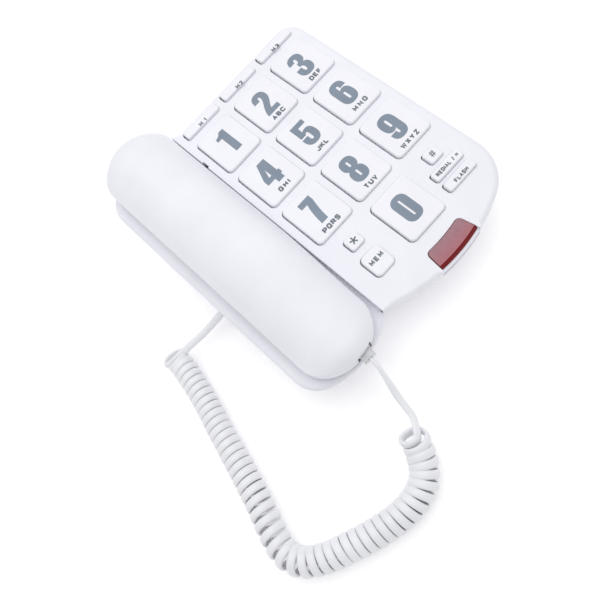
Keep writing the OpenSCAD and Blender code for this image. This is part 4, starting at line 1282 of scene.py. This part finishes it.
def make_handset_back():
    b = Builder()
    spine_half = HS["half_l"] - 22.0
    spine = np.column_stack([np.full(len(HS_OUT), HS_C[0]),
                             HS_C[1] + np.clip(HS_OUT[:, 1] - HS_C[1], -spine_half, spine_half) * 0.98])
    rings = [np.column_stack([HS_OUT - HS_N * 2.2, np.full(len(HS_OUT), SEAM_W + 0.3)]),
             np.column_stack([HS_OUT - HS_N * 0.35, np.full(len(HS_OUT), SEAM_W + 0.12)]),
             np.column_stack([HS_OUT - HS_N * 0.08, np.full(len(HS_OUT), SEAM_W + 0.35)])]
    edge_r, power = 8.0, 2.2
    # Close together at the rounded edge, wider apart towards the spine
    steps = [0.0, 0.002, 0.007, 0.016, 0.03, 0.05, 0.08, 0.12, 0.17, 0.23, 0.3, 0.38, 0.48, 0.6, 0.74, 0.88, 1.0]
    for f in steps:
        xy = HS_OUT + (spine - HS_OUT) * f
        d = distance(xy, HS_OUT)
        # The ear end keeps fuller shoulders than the sides and the mouth end
        r_here = edge_r - 2.6 * smooth((xy[:, 1] - 70) / 25)
        t = np.clip(1 - d / r_here, 0, 1)
        rise = (1 - t ** power) ** (1 / power)
        base = SEAM_W + 0.7
        rings.append(np.column_stack([xy, base + (crown(xy) - base) * rise]))
    b.loft(rings)
    obj = b.build("handset_back", SHELL, "handset", merge=0.01, sharp=45, up=1)
    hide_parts("handset_back_shell")


def under_w(xy):
    """Height of the handset's face: two round heads, with the grip arched up between them."""
    v = xy[:, 1]
    grip = smooth((v - GRIP_V[0]) / 7) * smooth((GRIP_V[1] - v) / 7)
    edge = distance(xy, HS_OUT)
    w = UNDER_W + (GRIP_W - UNDER_W) * grip * smooth((edge - GRIP_SIDE + 0.8) / 1.6)
    round_off = np.clip(1 - edge / 3.0, 0, 1)
    w = w + 3.0 * (1 - np.sqrt(1 - round_off ** 2))
    for c, r in HEADS:
        d = np.linalg.norm(xy - c, axis=1)
        t = np.clip((r - d) / 3.5, 0, 1)
        head = HEAD_W + 3.5 * (1 - np.sqrt(1 - (1 - t) ** 2))
        w = np.where(d <= r, np.minimum(w, head), w)
    return w


JACK_U = (-53.2, -41.8)
JACK_W = (-3.2, 3.7)


def make_handset_face():
    b = Builder()
    rings = [np.column_stack([HS_OUT - HS_N * 2.2, np.full(len(HS_OUT), SEAM_W - 0.3)]),
             np.column_stack([HS_OUT - HS_N * 0.35, np.full(len(HS_OUT), SEAM_W - 0.12)]),
             np.column_stack([HS_OUT - HS_N * 0.05, np.full(len(HS_OUT), SEAM_W - 0.35)])]
    low = under_w(HS_OUT)
    ids = b.loft(rings + [at(HS_OUT, JACK_W[1])])[-1]
    edge = b.ring(at(HS_OUT, JACK_W[0]))
    last = b.ring(np.column_stack([HS_OUT, low + 0.3]))
    b.join(edge, last)
    # The side wall, left open at the jack, with the opening's own edge folded inwards
    mouth = (HS_OUT[:, 1] < -80) & (HS_OUT[:, 0] > JACK_U[0]) & (HS_OUT[:, 0] < JACK_U[1])
    for i in range(len(HS_OUT)):
        j = (i + 1) % len(HS_OUT)
        if not (mouth[i] and mouth[j]):
            b.f.append((ids[i], ids[j], edge[j], edge[i]))
    start = next(i for i in range(len(mouth)) if mouth[i] and not mouth[i - 1])
    span = [(start + k) % len(mouth) for k in range(int(mouth.sum()))]
    frame_line = np.vstack([at(HS_OUT[span], JACK_W[1]), at(HS_OUT[span][::-1], JACK_W[0])])
    inner = frame_line + [0, 2.2, 0]
    b.loft([frame_line, inner])
    extra = []
    for inset in (0.1, 0.35, 0.8, 1.4, 2.1, 3.0):
        extra.append(HS_OUT - HS_N * inset)
    for c, r in HEADS:
        for d in (0.6, 0.05, -0.05, -0.12, -0.35, -0.8, -1.5, -2.4, -3.5, -6.0, -10.0, -15.0, -19.0):
            extra.append(arc(c, r + d, 0, 360, 96)[:-1])
    for inset in (3.8, 4.2, 4.5, 4.8, 5.2):
        extra.append(HS_OUT - HS_N * inset)
    gu, gv = np.meshgrid(np.arange(-70, -31, 3.0), np.arange(-40, 46, 1.6))
    extra.append(np.column_stack([gu.ravel(), gv.ravel()]))
    extra = np.vstack(extra)
    ok = inside(extra, HS_OUT) & (distance(extra, HS_OUT) > 0.06)
    extra = extra[ok]
    holes = []
    for c, pts in ((HEADS[0][0], [(0, 0)] + [(6 * math.cos(math.radians(a)), 6 * math.sin(math.radians(a)))
                                          for a in range(0, 360, 60)]),
                   (HEADS[1][0], [(-4, 0), (0, 0), (4, 0)])):
        for x, y in pts:
            hole = arc((c[0] + x, c[1] + y), 1.0, 0, 360, 16)[:-1]
            holes.append(hole)
            b.loft([at(hole, HEAD_W), at(hole, HEAD_W + 2.2)])
    b.sheet([HS_OUT] + holes, lambda xy: under_w(xy) + np.where(distance(xy, HS_OUT) < 0.01, 0.3, 0.0), extra)
    obj = b.build("handset_face", SHELL, "handset", merge=0.004, sharp=50, up=-1)
    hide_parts("handset_face_shell")


make_handset_back()
make_handset_face()

# ---------------------------------------------------------------- ringer lens


def make_lens():
    b = Builder()
    top = deck_box("ringer_lens")[1][2] - 0.35
    a = np.linspace(LENS_ANGLES[0], LENS_ANGLES[1], 20)[::-1]

    def plan(inset, front_r):
        back = lens_sides(-inset, front_r)
        return np.vstack([back, polar(front_r, a)[1:-1]])

    rings = [at(plan(0.0, FRONT_R - 2.9), -6.6), at(plan(0.0, FRONT_R - 2.9), LIP_W + 0.3),
             at(plan(0.0, FRONT_R - 1.75), LIP_W + 0.3), at(plan(0.0, FRONT_R - 1.6), LIP_W + 0.5),
             at(plan(0.0, FRONT_R - 2.95), top - 0.35), at(plan(0.08, FRONT_R - 3.15), top - 0.12),
             at(plan(0.35, FRONT_R - 3.45), top), at(plan(0.6, FRONT_R - 3.8), top)]
    b.loft(rings)
    b.sheet([rings[-1][:, :2]], flat(top))
    b.sheet([rings[0][:, :2]], flat(-6.6))
    obj = b.build("lens", LENS, "base", sharp=30)
    # The faces that don't face up, and those below the top, take the darker copy: painted shade on the lens's
    # sides and front.
    obj.data.materials.append(LENS_PAINTED_SHADE)
    for f in obj.data.polygons:
        d = to_deck(np.array(f.center) / MM)
        if f.normal.z < 0.9 or d[2] < top - 0.3:
            f.material_index = 1
    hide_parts("ringer_lens")


make_lens()

# ---------------------------------------------------------------- stage


def make_stage():
    m, nt, bsdf = new_material("floor")
    nt.links.new(ramp(nt, noise(nt, 2.0, 3.0), [(0.3, (0.90, 0.90, 0.905)), (0.7, (0.93, 0.93, 0.935))]),
                 bsdf.inputs["Base Color"])
    bsdf.inputs["Roughness"].default_value = 0.9
    bsdf.inputs["Specular IOR Level"].default_value = 0.1
    bsdf.inputs["Emission Color"].default_value = (1.0, 1.0, 1.0, 1.0)
    bsdf.inputs["Emission Strength"].default_value = 0.2
    mesh = bpy.data.meshes.new("floor")
    bm = bmesh.new()
    bmesh.ops.create_grid(bm, x_segments=2, y_segments=2, size=6.0)
    bm.to_mesh(mesh)
    bm.free()
    mesh.materials.append(m)
    floor = link("floor", mesh)

    world = bpy.data.worlds.new("world")
    world.use_nodes = True
    bg = world.node_tree.nodes["Background"]
    bg.inputs["Color"].default_value = (1.0, 1.0, 1.0, 1.0)
    bg.inputs["Strength"].default_value = 0.66
    bpy.context.scene.world = world

    data = bpy.data.lights.new("top_softbox", "AREA")
    data.shape = "SQUARE"
    data.size = 1.8
    data.energy = 12.5
    lamp = link("top_softbox", data)
    place = Vector((0.15, 0.3, 1.4))
    aim = Vector((0, 0, 0.03))
    lamp.location = place
    lamp.rotation_euler = (aim - place).to_track_quat("-Z", "Y").to_euler()
    bpy.context.scene.view_settings.view_transform = "Standard"


make_stage()
